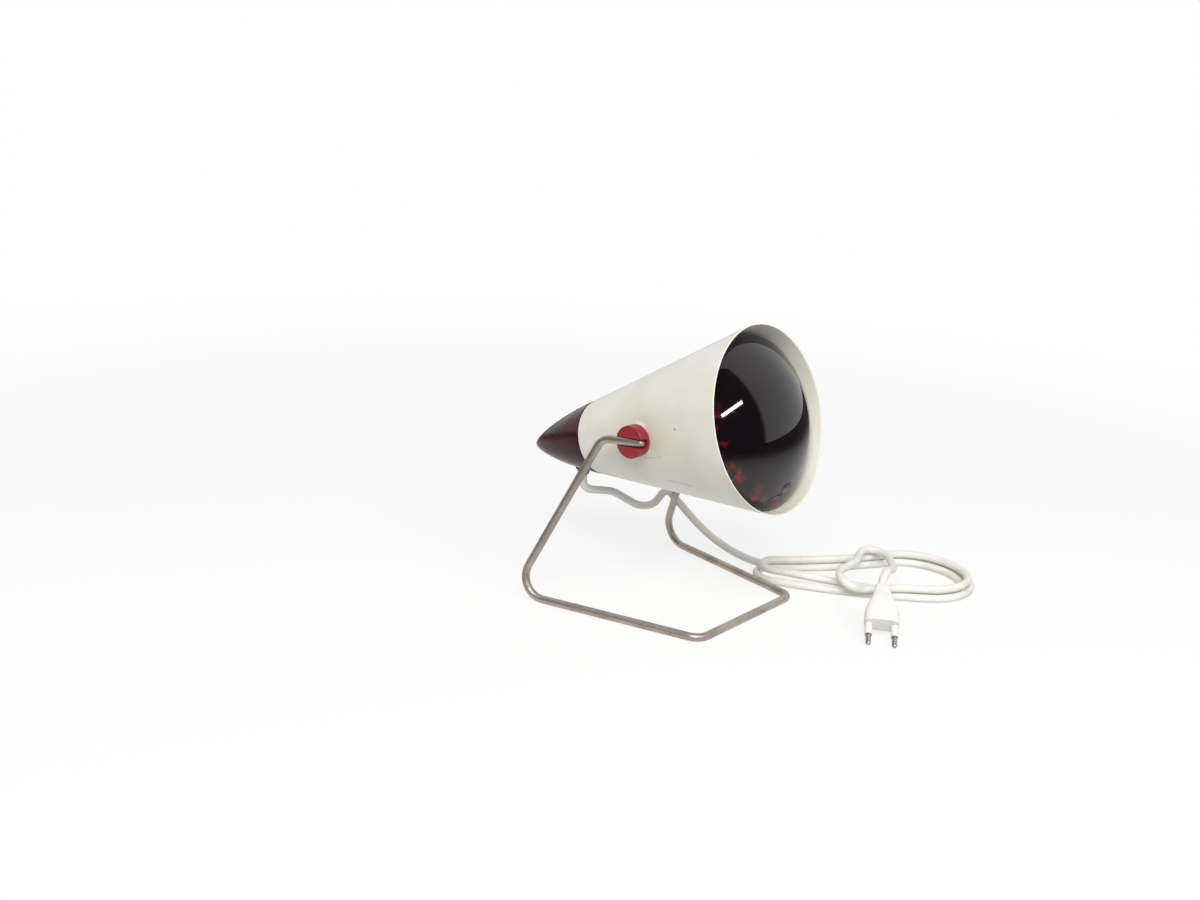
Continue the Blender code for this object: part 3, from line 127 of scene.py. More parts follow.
def area_light(name, place, along, size, watts):
    """A rectangular light at a place, facing the lamp, with its long side along a direction."""
    bpy.ops.object.light_add(type="AREA", location=place)
    light = bpy.context.object
    light.name = name
    backward = (place - AIM).normalized()
    side = (along - backward * along.dot(backward)).normalized()
    facing = Matrix((side, backward.cross(side), backward)).transposed()
    light.rotation_euler = facing.to_euler()
    light.data.shape = "RECTANGLE"
    light.data.size, light.data.size_y = size
    light.data.energy = watts


area_light("key", KEY_PLACE, Vector((1, -1, 0)), (KEY_SIZE, KEY_SIZE), KEY_WATTS)
area_light("strip", STRIP_PLACE, STRIP_ALONG, STRIP_SIZE, STRIP_WATTS)

world = bpy.data.worlds.new("white_surround")
world.use_nodes = True
bpy.context.scene.world = world
tree = world.node_tree
tree.nodes.clear()
strength = node(tree, "MapRange", {"Value": seen_rays(tree), "To Min": SURROUND_FILL, "To Max": 1})
sky = node(tree, "Background", {"Color": (1, 1, 1, 1), "Strength": strength.outputs[0]})
node(tree, "OutputWorld", {"Surface": sky.outputs[0]})

bpy.ops.mesh.primitive_plane_add(size=FLOOR_SIZE)
floor = bpy.context.object
floor.name = "studio_floor"
pale = bpy.data.materials.new("pale_floor_paper")
pale.use_nodes = True
tree = pale.node_tree
tree.nodes.clear()
paper = node(tree, "BsdfDiffuse", {"Color": linear(FLOOR_PALE)})
glow_strength = node(tree, "MapRange", {"Value": seen_rays(tree), "To Min": SURROUND_FILL,
                                        "To Max": 1})
place = node(tree, "TexCoord").outputs["Object"]
reach = node(tree, "VectorMath", {0: place}, operation="LENGTH").outputs["Value"]
table = node(tree, "MapRange", {"Value": reach, "From Min": PAPER_FADE[0],
                                "From Max": PAPER_FADE[1], "To Max": TABLE_DARK},
             interpolation_type="SMOOTHSTEP")
mirrored = node(tree, "LightPath").outputs["Is Glossy Ray"]
dimmed = node(tree, "Math", {0: table.outputs[0], 1: mirrored}, operation="MULTIPLY")
left = node(tree, "Math", {0: glow_strength.outputs[0], 1: dimmed.outputs[0]},
            operation="SUBTRACT")
glow = node(tree, "Emission", {"Color": (1, 1, 1, 1), "Strength": left.outputs[0]})
share = node(tree, "MapRange", {"Value": reach, "From Min": FLOOR_FADE[0],
                                "From Max": FLOOR_FADE[1], "To Min": FLOOR_GLOW_SHARE,
                                "To Max": 1}, interpolation_type="SMOOTHSTEP")
mixed = node(tree, "MixShader", {0: share.outputs[0], 1: paper.outputs[0], 2: glow.outputs[0]})
node(tree, "OutputMaterial", {"Surface": mixed.outputs[0]})
floor.data.materials.append(pale)

dark = bpy.data.materials.new("dark_room_cloth")
dark.use_nodes = True
tree = dark.node_tree
tree.nodes.clear()
own = node(tree, "TexCoord").outputs["Object"]
parts = node(tree, "SeparateXYZ", {"Vector": node(tree, "VectorMath", {0: own},
                                                  operation="ABSOLUTE").outputs[0]})
edge = node(tree, "Math", {0: parts.outputs["X"], 1: parts.outputs["Y"]}, operation="MAXIMUM")
fade = node(tree, "MapRange", {"Value": edge.outputs[0], "From Min": CLOTH_FADE[0],
                               "From Max": CLOTH_FADE[1]}, interpolation_type="SMOOTHSTEP")
clear = node(tree, "BsdfTransparent")
cloth = node(tree, "Emission", {"Color": linear(ROOM_DARK), "Strength": 1.0})
hung = node(tree, "MixShader", {0: fade.outputs[0], 1: cloth.outputs[0], 2: clear.outputs[0]})
node(tree, "OutputMaterial", {"Surface": hung.outputs[0]})
for azimuth, distance, width in ROOM_CLOTHS:
    outward = Vector((math.sin(azimuth), -math.cos(azimuth), 0))
    middle = outward * distance + Vector((0, 0, ROOM_HEIGHT / 2 - ROOM_BELOW))
    bpy.ops.mesh.primitive_plane_add(size=1, location=middle, rotation=(math.pi / 2, 0, azimuth))
    room = bpy.context.object
    room.name = "dark_room_cloth"
    room.scale = (width, ROOM_HEIGHT, 1)
    room.visible_camera = False
    room.visible_diffuse = False
    room.visible_shadow = False
    room.visible_transmission = False
    room.data.materials.append(dark)


def surface(name):
    """A new material: its tree, its Principled shader and the Object coordinates."""
    made = bpy.data.materials.new(name)
    made.use_nodes = True
    tree = made.node_tree
    shader = tree.nodes["Principled BSDF"]
    return made, tree, shader, node(tree, "TexCoord").outputs["Object"]


def patch(tree, where, fineness, low, high, detail=3.0):
    """Noise as a mask: nought below low, one above high."""
    noise = node(tree, "TexNoise", {"Vector": where, "Scale": fineness, "Detail": detail})
    return node(tree, "MapRange", {"Value": noise.outputs["Fac"], "From Min": low,
                                   "From Max": high}).outputs[0]


def tinted(tree, mask, colour, over):
    """A hex colour laid over another colour or socket where the mask is one."""
    under = over if isinstance(over, bpy.types.NodeSocket) else linear(over)
    return node(tree, "Mix", {0: mask, 6: under, 7: linear(colour)}, data_type="RGBA").outputs[2]


def grained(tree, shader, height, depth):
    """Bump of a real depth, in metres, from a height between nought and one."""
    bump = node(tree, "Bump", {"Height": height, "Distance": depth, "Strength": 1.0})
    tree.links.new(bump.outputs[0], shader.inputs["Normal"])


# Mains cord: a round twin-core flex with a cream PVC sheath. It leaves the cap's underside,
# goes round behind the left leg, and lies tied in a hank by its own end, which leads to the plug.
CORD_DIAMETER = 0.0063
CORD_CREAM = "E9E6DE"
CORD_GRIME = "B5B0A4"
CORD_STEP = 0.0025          # between points of the finished cord
CORD_RESOLUTION = 6         # 16 sides
FLEX_GAP = 0.0003
PIVOT = Vector(frame["joints"][0]["pos_m"])
# Points across the lamp, behind the pivot and above the table
DROP_ROUTE = [
    (0.0015, 0.0890, 0.0640), (0.0060, 0.0868, 0.0605), (0.0140, 0.0830, 0.0590),
    (0.0240, 0.0775, 0.0570), (0.0330, 0.0705, 0.0510), (0.0400, 0.0645, 0.0460),
    (0.0490, 0.0610, 0.0440), (0.0590, 0.0610, 0.0440), (0.0690, 0.0635, 0.0460),
    (0.0780, 0.0660, 0.0480), (0.0872, 0.0665, 0.0462), (0.0960, 0.0607, 0.0355),
    (0.1025, 0.0490, 0.0222), (0.1062, 0.0340, 0.0115), (0.1066, 0.0180, 0.0058),
    (0.1046, 0.0020, 0.0036), (0.1028, -0.0125, 0.0032), (0.1050, -0.0232, 0.00315)]
# Points along the hank, aside from its middle line and above the table
TAIL_ROUTE = [
    (0.0835, -0.0400, 0.0104), (0.0765, -0.0415, 0.0110), (0.0695, -0.0395, 0.0135),
    (0.0655, -0.0330, 0.0170), (0.0670, -0.0250, 0.0188), (0.0725, -0.0165, 0.0188),
    (0.0790, -0.0080, 0.0182), (0.0850, 0.0010, 0.0176), (0.0900, 0.0110, 0.0174),
    (0.0945, 0.0210, 0.0174), (0.1010, 0.0285, 0.0174), (0.1095, 0.0290, 0.0174),
    (0.1155, 0.0225, 0.0174), (0.1165, 0.0125, 0.0175), (0.1140, 0.0010, 0.0182),
    (0.1105, -0.0110, 0.0196), (0.1065, -0.0230, 0.0222), (0.1020, -0.0350, 0.0255),
    (0.0970, -0.0460, 0.0290), (0.0925, -0.0560, 0.0320), (0.0885, -0.0650, 0.0338)]
HANK_LENGTH = 0.1820
HANK_NARROW = 0.0225
HANK_WIDE = 0.0460
HANK_START = Vector((0.0800, -0.0230, 0.0))
HANK_HEADING = math.radians(-60)
HANK_TURN = math.radians(30)
HANK_PITCH = 0.0078
HANK_LAYER = 0.0069
HANK_POINTS = 96            # points in a loop
HANK_FIRST = 0.19           # turns from the narrow tip to the hank's start
HANK_TURNS_BACK = 1.75
HANK_LAST = 2.69


def smooth_step(t):
    """Eases from 0 to 1."""
    t = min(max(t, 0.0), 1.0)
    return t * t * (3 - 2 * t)


def on_hank(along, aside, height):
    """A point beside the hank's bent middle line."""
    bend = HANK_TURN / HANK_LENGTH
    heading = HANK_HEADING + bend * along
    x = HANK_START.x + (math.sin(heading) - math.sin(HANK_HEADING)) / bend
    y = HANK_START.y - (math.cos(heading) - math.cos(HANK_HEADING)) / bend
    return Vector((x - aside * math.sin(heading), PIVOT.y + y + aside * math.cos(heading), height))


def hank_point(turns):
    """Where the hank's cord is after so many turns from the narrow tip."""
    inset = HANK_PITCH * (HANK_TURNS_BACK - HANK_FIRST - abs(turns - HANK_TURNS_BACK))
    centres = HANK_LENGTH - HANK_NARROW - HANK_WIDE
    lean = math.asin((HANK_WIDE - HANK_NARROW) / centres)
    t = (turns + 0.5) % 1.0 - 0.5
    sixth = 1 / 6
    if abs(t) < sixth:
        angle = math.pi - t / sixth * (math.pi / 2 - lean)
        middle, radius = HANK_NARROW, HANK_NARROW - inset
        along, aside = middle + radius * math.cos(angle), radius * math.sin(angle)
    elif abs(t) > 2 * sixth:
        past = t - 0.5 if t > 0 else t + 0.5
        angle = -past / sixth * (math.pi / 2 + lean)
        middle, radius = HANK_LENGTH - HANK_WIDE, HANK_WIDE - inset
        along, aside = middle + radius * math.cos(angle), radius * math.sin(angle)
    else:
        share = (abs(t) - sixth) / sixth
        radius = HANK_NARROW - inset + share * (HANK_WIDE - HANK_NARROW)
        along = HANK_NARROW + share * centres - radius * math.sin(lean)
        aside = math.copysign(radius * math.cos(lean), t)
    climbed = smooth_step((turns - HANK_TURNS_BACK) / sixth + 0.5)
    return on_hank(along, aside, CORD_DIAMETER / 2 + HANK_LAYER * climbed)


def smooth_path(route, spacing):
    """Points at an even spacing on the smooth curve through a route, whose end runs are straight."""
    fine = []
    fine_steps = 16
    for p0, p1, p2, p3 in zip(route, route[1:], route[2:], route[3:]):
        for step in range(fine_steps):
            t = step / fine_steps
            fine.append(0.5 * (2 * p1 + (p2 - p0) * t + (2 * p0 - 5 * p1 + 4 * p2 - p3) * t ** 2
                               + (3 * p1 - p0 - 3 * p2 + p3) * t ** 3))
    fine = [route[0]] + fine + [route[-2], route[-1]]
    travelled = [0.0]
    for a, b in zip(fine, fine[1:]):
        travelled.append(travelled[-1] + (b - a).length)
    count = round(travelled[-1] / spacing)
    out, at = [], 0
    for i in range(count + 1):
        goal = travelled[-1] * i / count
        while at < len(fine) - 2 and travelled[at + 1] < goal:
            at += 1
        run = max(travelled[at + 1] - travelled[at], spacing / 1000)
        out.append(fine[at].lerp(fine[at + 1], min((goal - travelled[at]) / run, 1.0)))
    return out


def aimed(place, way, up):
    """A matrix at a place whose +Z looks along a direction, with +X nearest to up."""
    z = Vector(way).normalized()
    x = (Vector(up) - z * z.dot(Vector(up))).normalized()
    matrix = Matrix((x, z.cross(x), z)).transposed().to_4x4()
    matrix.translation = place
    return matrix


# The lamp's own frame: +Z along its axis to the mouth, +Y up, X along the tilt axis
TILT = math.radians(17)
LAMP = Matrix.Translation(PIVOT) @ Matrix.Rotation(math.pi / 2 - TILT, 4, "X")
# Where the cord leaves: the rubber bush stands square to the cap's wall, straight down
bush_low, bush_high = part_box("cord_bush")
CORD_EXIT = Vector(((bush_low.x + bush_high.x) / 2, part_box("cord_inner")[0].y + CORD_DIAMETER / 2,
                    bush_low.z))
# The plug's middle line, from the middle of its face to the cord's end
PLUG_FACE = PIVOT + Vector((0.0452, -0.1604, 0.0104 - PIVOT.z))
PLUG_HEADING = math.radians(30.7)
PLUG_SLOPE = math.radians(28)
PLUG_LENGTH = 0.0360
plug_way = Vector((math.cos(PLUG_SLOPE) * math.cos(PLUG_HEADING),
                   math.cos(PLUG_SLOPE) * math.sin(PLUG_HEADING), math.sin(PLUG_SLOPE)))
PLUG = aimed(PLUG_FACE, plug_way, (math.sin(PLUG_HEADING), -math.cos(PLUG_HEADING), 0))


def cord_route():
    """The whole cord's centreline, from the cap's bush to the plug."""
    turns = HANK_LAST - HANK_FIRST
    count = round(turns * HANK_POINTS)
    hank = [hank_point(HANK_FIRST + turns * i / count) for i in range(0, count + 1, 4)]
    down = Vector((0, 0, -CORD_DIAMETER))
    drop = [CORD_EXIT, CORD_EXIT + down]
    drop += [Vector((x, PIVOT.y + y, z)) for x, y, z in DROP_ROUTE]
    plug_end = PLUG @ Vector((0, 0, PLUG_LENGTH + FLEX_GAP))
    tail = [on_hank(*point) for point in TAIL_ROUTE]
    tail += [plug_end + plug_way * CORD_DIAMETER, plug_end]
    return smooth_path(drop + hank + tail, CORD_STEP)


def finish_up(piece, matrix=None):
    """Puts a piece in its place for good: its object at the origin, its place in its mesh."""
    if matrix is not None:
        piece.matrix_world = matrix
    bpy.ops.object.select_all(action="DESELECT")
    piece.select_set(True)
    bpy.context.view_layer.objects.active = piece
    bpy.ops.object.transform_apply(location=True, rotation=True, scale=True)
    for modifier in list(piece.modifiers):
        bpy.ops.object.modifier_apply(modifier=modifier.name)
    return piece


def rod(name, points, radius, resolution, shares=None):
    """A round rod through points, as a mesh; shares scale its radius at each point."""
    curve = bpy.data.curves.new(name, "CURVE")
    curve.dimensions = "3D"
    curve.bevel_depth = radius
    curve.bevel_resolution = resolution
    curve.use_fill_caps = True
    spline = curve.splines.new("POLY")
    spline.points.add(len(points) - 1)
    for i, point in enumerate(points):
        spline.points[i].co = (*point, 1)
        spline.points[i].radius = shares[i] if shares else 1.0
    piece = bpy.data.objects.new(name, curve)
    bpy.context.scene.collection.objects.link(piece)
    bpy.ops.object.select_all(action="DESELECT")
    piece.select_set(True)
    bpy.context.view_layer.objects.active = piece
    bpy.ops.object.convert(target="MESH")
    bpy.ops.object.mode_set(mode="EDIT")
    bpy.ops.mesh.select_all(action="SELECT")
    bpy.ops.mesh.remove_doubles(threshold=0.00001)
    bpy.ops.mesh.normals_make_consistent(inside=False)
    bpy.ops.object.mode_set(mode="OBJECT")
    bpy.ops.object.shade_smooth_by_angle(angle=math.radians(40))
    return piece


def cord_pvc():
    """Soft PVC, extruded: a low satin sheen, slightly uneven, greyed by handling."""
    made, tree, shader, place = surface("cream_pvc_sheath")
    handled = patch(tree, place, 55, 0.46, 0.70)
    specks = patch(tree, place, 420, 0.73, 0.78, 2.0)
    colour = tinted(tree, handled, "DCD8CD", CORD_CREAM)
    tree.links.new(tinted(tree, specks, CORD_GRIME, colour), shader.inputs["Base Color"])
    sheen = node(tree, "MapRange", {"Value": handled, "To Min": 0.36, "To Max": 0.52})
    tree.links.new(sheen.outputs[0], shader.inputs["Roughness"])
    grained(tree, shader, patch(tree, place, 900, 0.3, 0.7), 0.00001)
    return made


route = cord_route()
mains_cord = rod("mains_cord", route, CORD_DIAMETER / 2, CORD_RESOLUTION)
mains_cord.data.materials.append(cord_pvc())
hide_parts("cord_drop", "cord_hank", "cord_tail")
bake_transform(mains_cord)


# Plug: a flat two-pin mains plug moulded on the cord in white PVC, with brass pins, nickelled
# and sleeved for half their length. It leans on the tips of its pins.
PLUG_WIDTH = 0.0250
PLUG_THICKNESS = 0.0140
PLUG_SIDES = 64
PLUG_SQUARENESS = 0.55
PLUG_SHAPE_SHARES = [(0.0, 0.95, 0.92), (0.012, 0.985, 0.975), (0.04, 1.0, 1.0), (0.20, 1.0, 1.0),
                     (0.28, 0.985, 0.99), (0.36, 0.94, 0.965), (0.46, 0.85, 0.93),
                     (0.57, 0.725, 0.88), (0.68, 0.60, 0.835), (0.80, 0.495, 0.785),
                     (0.91, 0.43, 0.74), (0.985, 0.40, 0.71), (1.0, 0.37, 0.66)]
PLUG_WHITE = "E9E7E1"
PIN_SPACING = 0.0186
PIN_LENGTH = 0.0190
PIN_RADIUS = 0.0020
PIN_ROOT = 0.0060
SLEEVE_LENGTH = 0.0100
SLEEVE_WALL = 0.0005
TURNED_SIDES = 64


def pulled(name, rings, sides, ends="OPEN"):
    """A shape pulled from a circle through (x radius, y radius, height) rings.

    Its ends stay open, or are closed with faces, or its last ring meets its first.
    """
    bpy.ops.object.select_all(action="DESELECT")
    bpy.ops.mesh.primitive_circle_add(vertices=sides, radius=1)
    piece = bpy.context.object
    piece.name = name
    bpy.ops.object.mode_set(mode="EDIT")
    bpy.ops.mesh.select_all(action="SELECT")
    wide, deep, height = rings[0]
    bpy.ops.transform.translate(value=(0, 0, height))
    bpy.ops.transform.resize(value=(wide, deep, 1), center_override=(0, 0, height))
    if ends == "CLOSED":
        bpy.ops.mesh.edge_face_add()
        bpy.ops.mesh.inset(thickness=min(wide, deep) / 4)
        bpy.ops.mesh.select_all(action="DESELECT")
        bpy.ops.object.mode_set(mode="OBJECT")
        for v in piece.data.vertices:
            v.select = (v.co.x / wide) ** 2 + (v.co.y / deep) ** 2 > 0.98
        bpy.ops.object.mode_set(mode="EDIT")
    for (x0, y0, z0), (x1, y1, z1) in zip(rings, rings[1:]):
        bpy.ops.mesh.extrude_edges_move(TRANSFORM_OT_translate={"value": (0, 0, z1 - z0)})
        bpy.ops.transform.resize(value=(x1 / x0, y1 / y0, 1), center_override=(0, 0, z1))
    if ends == "CLOSED":
        bpy.ops.mesh.edge_face_add()
        bpy.ops.mesh.inset(thickness=min(x1, y1) / 4)
    bpy.ops.mesh.select_all(action="SELECT")
    bpy.ops.mesh.remove_doubles(threshold=0.000001)
    bpy.ops.mesh.normals_make_consistent(inside=False)
    bpy.ops.object.mode_set(mode="OBJECT")
    bpy.ops.object.shade_smooth_by_angle(angle=math.radians(35))
    return piece


def plug_pvc():
    """Injection-moulded PVC: fine spark-eroded mould texture, a soft shine, greyed a little."""
    made, tree, shader, place = surface("white_moulded_pvc")
    handled = patch(tree, place, 60, 0.48, 0.72)
    specks = patch(tree, place, 420, 0.735, 0.775, 2.0)
    colour = tinted(tree, handled, "DFDCD4", PLUG_WHITE)
    tree.links.new(tinted(tree, specks, "8F8B83", colour), shader.inputs["Base Color"])
    shader.inputs["Roughness"].default_value = 0.38
    grained(tree, shader, patch(tree, place, 1600, 0.3, 0.7), 0.00004)
    return made


def nickelled_brass():
    """Nickel over turned brass: bright, with fine wear rings that show as lengthwise rubs."""
    made, tree, shader, place = surface("nickelled_brass_pin")
    rubbed = patch(tree, place, 700, 0.45, 0.65)
    tree.links.new(tinted(tree, rubbed, "8D877C", "B9B5AD"), shader.inputs["Base Color"])
    shader.inputs["Metallic"].default_value = 1.0
    dull = node(tree, "MapRange", {"Value": rubbed, "To Min": 0.22, "To Max": 0.4})
    tree.links.new(dull.outputs[0], shader.inputs["Roughness"])
    return made


white_pvc = plug_pvc()
plug = pulled("plug_moulding", [(wide * PLUG_WIDTH / 2, thick * PLUG_THICKNESS / 2,
                                 along * PLUG_LENGTH) for along, wide, thick in PLUG_SHAPE_SHARES],
              PLUG_SIDES, "CLOSED")
for vertex in plug.data.vertices:
    reach = math.hypot(vertex.co.x / PLUG_WIDTH, vertex.co.y / PLUG_THICKNESS)
    if reach > 0:
        for axis, span in ((0, PLUG_WIDTH), (1, PLUG_THICKNESS)):
            share = vertex.co[axis] / span / reach
            vertex.co[axis] = math.copysign(abs(share) ** PLUG_SQUARENESS, share) * span * reach
finish_up(plug, PLUG)
plug.data.materials.append(white_pvc)
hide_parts("plug_body")
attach(plug, "stand")
on_cord = [plug]
pin_metal = nickelled_brass()
for word, side in (("right", -1), ("left", 1)):
    across = PLUG @ Matrix.Translation((side * PIN_SPACING / 2, 0, 0))
    r = PIN_RADIUS
    pin = pulled("pin_" + word, [(r / 3, r / 3, -PIN_LENGTH), (0.72 * r, 0.72 * r, -PIN_LENGTH + 0.12 * r),
                                 (0.93 * r, 0.93 * r, -PIN_LENGTH + 0.45 * r), (r, r, -PIN_LENGTH + r),
                                 (r, r, PIN_ROOT)], TURNED_SIDES // 2, "CLOSED")
    finish_up(pin, across)
    pin.data.materials.append(pin_metal)
    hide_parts("plug_pin_" + word)
    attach(pin, "stand")
    inner = PIN_RADIUS + FLEX_GAP
    outer = inner + SLEEVE_WALL
    sleeve = pulled("pin_sleeve_" + word, [
        (inner, inner, -FLEX_GAP), (outer, outer, -FLEX_GAP),
        (outer, outer, -FLEX_GAP - SLEEVE_LENGTH), (inner, inner, -FLEX_GAP - SLEEVE_LENGTH),
        (inner, inner, -FLEX_GAP)], TURNED_SIDES // 2)
    finish_up(sleeve, across)
    sleeve.data.materials.append(white_pvc)
    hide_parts("plug_sleeve_" + word)
    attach(sleeve, "stand")
    on_cord += [pin, sleeve]


# Shade: a cone spun from sheet aluminium and stoved in cream enamel, inside and out. Its small
# end is turned in to hold the cap and the bulb's holder, and its sides are pressed flat for
# the knobs.
SHADE_MOUTH_RADIUS = 0.0680
SHADE_TAIL_RADIUS = 0.0290
SHADE_FRONT = 0.0820
SHADE_BACK = 0.0754
SHADE_WALL = 0.0008
SHADE_SIDES = 224
SHADE_RINGS = 110
SHADE_OPENING = 0.0260
SEAT_HALF = 0.0503
SEAT_RADIUS = 0.0104
SEAT_SKIRT = 0.0020         # width of the bend round a pressed seat
BUSH_HOLE_RADIUS = 0.0037
CHIP = (-0.0573, -0.0586, 0.1476)       # a small knock on the right side
SCUFF_START = Vector((-0.0385, -0.0352, 0.1030))
SCUFF_END = Vector((-0.0437, -0.0742, 0.1061))
SCORE_START = Vector((-0.0440, -0.0201, 0.1149))
SCORE_END = Vector((-0.0528, -0.0511, 0.1259))


def line_mask(tree, place, start, end, half_width, fade):
    """One along a straight line on the surface, nought beyond its half width."""
    way = (end - start)
    middle = (start + end) / 2
    along = node(tree, "VectorMath", {0: place, 1: middle}, operation="SUBTRACT").outputs[0]
    share = node(tree, "VectorMath", {0: along, 1: way.normalized()}, operation="DOT_PRODUCT")
    squared = node(tree, "VectorMath", {0: along, 1: along}, operation="DOT_PRODUCT")
    taken = node(tree, "Math", {0: share.outputs["Value"], 1: share.outputs["Value"]},
                 operation="MULTIPLY")
    aside = node(tree, "Math", {0: squared.outputs["Value"], 1: taken.outputs[0]},
                 operation="SUBTRACT")
    distance = node(tree, "Math", {0: aside.outputs[0]}, operation="SQRT")
    near = node(tree, "MapRange", {"Value": distance.outputs[0], "From Min": half_width,
                                   "From Max": half_width + fade, "To Min": 1, "To Max": 0})
    reach = node(tree, "Math", {0: share.outputs["Value"]}, operation="ABSOLUTE")
    within = node(tree, "MapRange", {"Value": reach.outputs[0], "From Min": way.length / 4,
                                     "From Max": way.length / 2, "To Min": 1, "To Max": 0})
    return node(tree, "Math", {0: near.outputs[0], 1: within.outputs[0]},
                operation="MULTIPLY").outputs[0]


def cream_enamel():
    """Stoved enamel: semi-gloss with a faint orange peel, yellowed unevenly, with small marks."""
    made, tree, shader, place = surface("cream_stoved_enamel")
    aged = patch(tree, place, 14, 0.42, 0.75)
    cloudy = patch(tree, place, 48, 0.50, 0.80)
    specks = patch(tree, place, 230, 0.79, 0.81, 2.0)
    colour = tinted(tree, aged, "DED8C2", "EEEBE1")
    colour = tinted(tree, cloudy, "E6E1D2", colour)
    colour = tinted(tree, specks, "B9B19C", colour)
    scuff = line_mask(tree, place, SCUFF_START, SCUFF_END, 0.0002, 0.0011)
    score = line_mask(tree, place, SCORE_START, SCORE_END, 0.00015, 0.0007)
    broken = patch(tree, place, 190, 0.38, 0.55)
    for mask in (scuff, score):
        worn = node(tree, "Math", {0: mask, 1: broken}, operation="MULTIPLY")
        light = node(tree, "Math", {0: worn.outputs[0], 1: 0.55}, operation="MULTIPLY")
        colour = tinted(tree, light.outputs[0], "9C978A", colour)
    away = node(tree, "VectorMath", {0: place, 1: CHIP}, operation="DISTANCE")
    chipped = node(tree, "MapRange", {"Value": away.outputs["Value"], "From Min": 0.0004,
                                      "From Max": 0.0011, "To Min": 1, "To Max": 0})
    colour = tinted(tree, chipped.outputs[0], "8E8E8C", colour)
    tree.links.new(colour, shader.inputs["Base Color"])
    gloss = node(tree, "MapRange", {"Value": aged, "To Min": 0.30, "To Max": 0.42})
    tree.links.new(gloss.outputs[0], shader.inputs["Roughness"])
    # Orange peel of about 1.5 mm
    grained(tree, shader, patch(tree, place, 650, 0.2, 0.8, 1.0), 0.00003)
    return made


slope = (SHADE_MOUTH_RADIUS - SHADE_TAIL_RADIUS) / (SHADE_FRONT + SHADE_BACK)
rings = [(SHADE_OPENING, SHADE_OPENING, -SHADE_BACK),
         (SHADE_TAIL_RADIUS - SHADE_WALL, SHADE_TAIL_RADIUS - SHADE_WALL, -SHADE_BACK),
         (SHADE_TAIL_RADIUS - SHADE_WALL / 4, SHADE_TAIL_RADIUS - SHADE_WALL / 4,
          -SHADE_BACK + SHADE_WALL / 4)]
for step in range(1, SHADE_RINGS + 1):
    height = -SHADE_BACK + SHADE_WALL + (SHADE_FRONT + SHADE_BACK - SHADE_WALL) * step / SHADE_RINGS
    radius = SHADE_TAIL_RADIUS + (height + SHADE_BACK) * slope
    rings.append((radius, radius, height))
shade = pulled("cone_shade", rings, SHADE_SIDES)
for vertex in shade.data.vertices:
    out = math.hypot(vertex.co.y, vertex.co.z)
    if out < SEAT_RADIUS + SEAT_SKIRT:
        flat = 1 - smooth_step((out - SEAT_RADIUS) / SEAT_SKIRT)
        seat = math.copysign(SEAT_HALF, vertex.co.x)
        vertex.co.x += (seat - vertex.co.x) * flat
wall = shade.modifiers.new("sheet", "SOLIDIFY")
wall.thickness = SHADE_WALL
wall.offset = -1
edge = shade.modifiers.new("edge", "BEVEL")
edge.width = SHADE_WALL / 4
edge.segments = 2
edge.limit_method = "ANGLE"
edge.angle_limit = math.radians(60)
for side in (-1, 1):
    bpy.ops.object.select_all(action="DESELECT")
    bpy.ops.mesh.primitive_cylinder_add(vertices=48, radius=BUSH_HOLE_RADIUS, depth=SEAT_RADIUS,
                                        location=(side * SEAT_HALF, 0, 0),
                                        rotation=(0, math.pi / 2, 0))
    punch = bpy.context.object
    hole = shade.modifiers.new("bush_hole", "BOOLEAN")
    hole.object = punch
    hole.solver = "EXACT"
    bpy.ops.object.select_all(action="DESELECT")
    shade.select_set(True)
    bpy.context.view_layer.objects.active = shade
    for modifier in list(shade.modifiers):
        bpy.ops.object.modifier_apply(modifier=modifier.name)
    bpy.data.objects.remove(punch, do_unlink=True)
finish_up(shade, LAMP)
bpy.ops.object.shade_smooth_by_angle(angle=math.radians(35))
enamel = cream_enamel()
shade.data.materials.clear()
shade.data.materials.append(enamel)
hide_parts("shade")
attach(shade, "head")


# Cap: the lamp's tail, compression-moulded in maroon phenolic. Two bosses inside take the
# screws that hold it on the shade. The cord's bush sits in a hole in its underside.
CAP_TOP = -SHADE_BACK - FLEX_GAP
CAP_LENGTH = 0.0713
CAP_WALL = 0.0025
CAP_FULLNESS = 1.116
CAP_BLUNTNESS = 0.697
CAP_SIDES = 160
CAP_RINGS = 48
CAP_EDGE = 0.0005           # rounding of the cap's front edge
CAP_TIP_SHARE = 0.9995      # share of its length where the tip's last ring lies
BOSS_RADIUS = 0.0032
BOSS_LENGTH = 0.0120
BOSS_OUT = 0.0225
BUSH_HOLE = 0.0053
MAROON = "35141A"


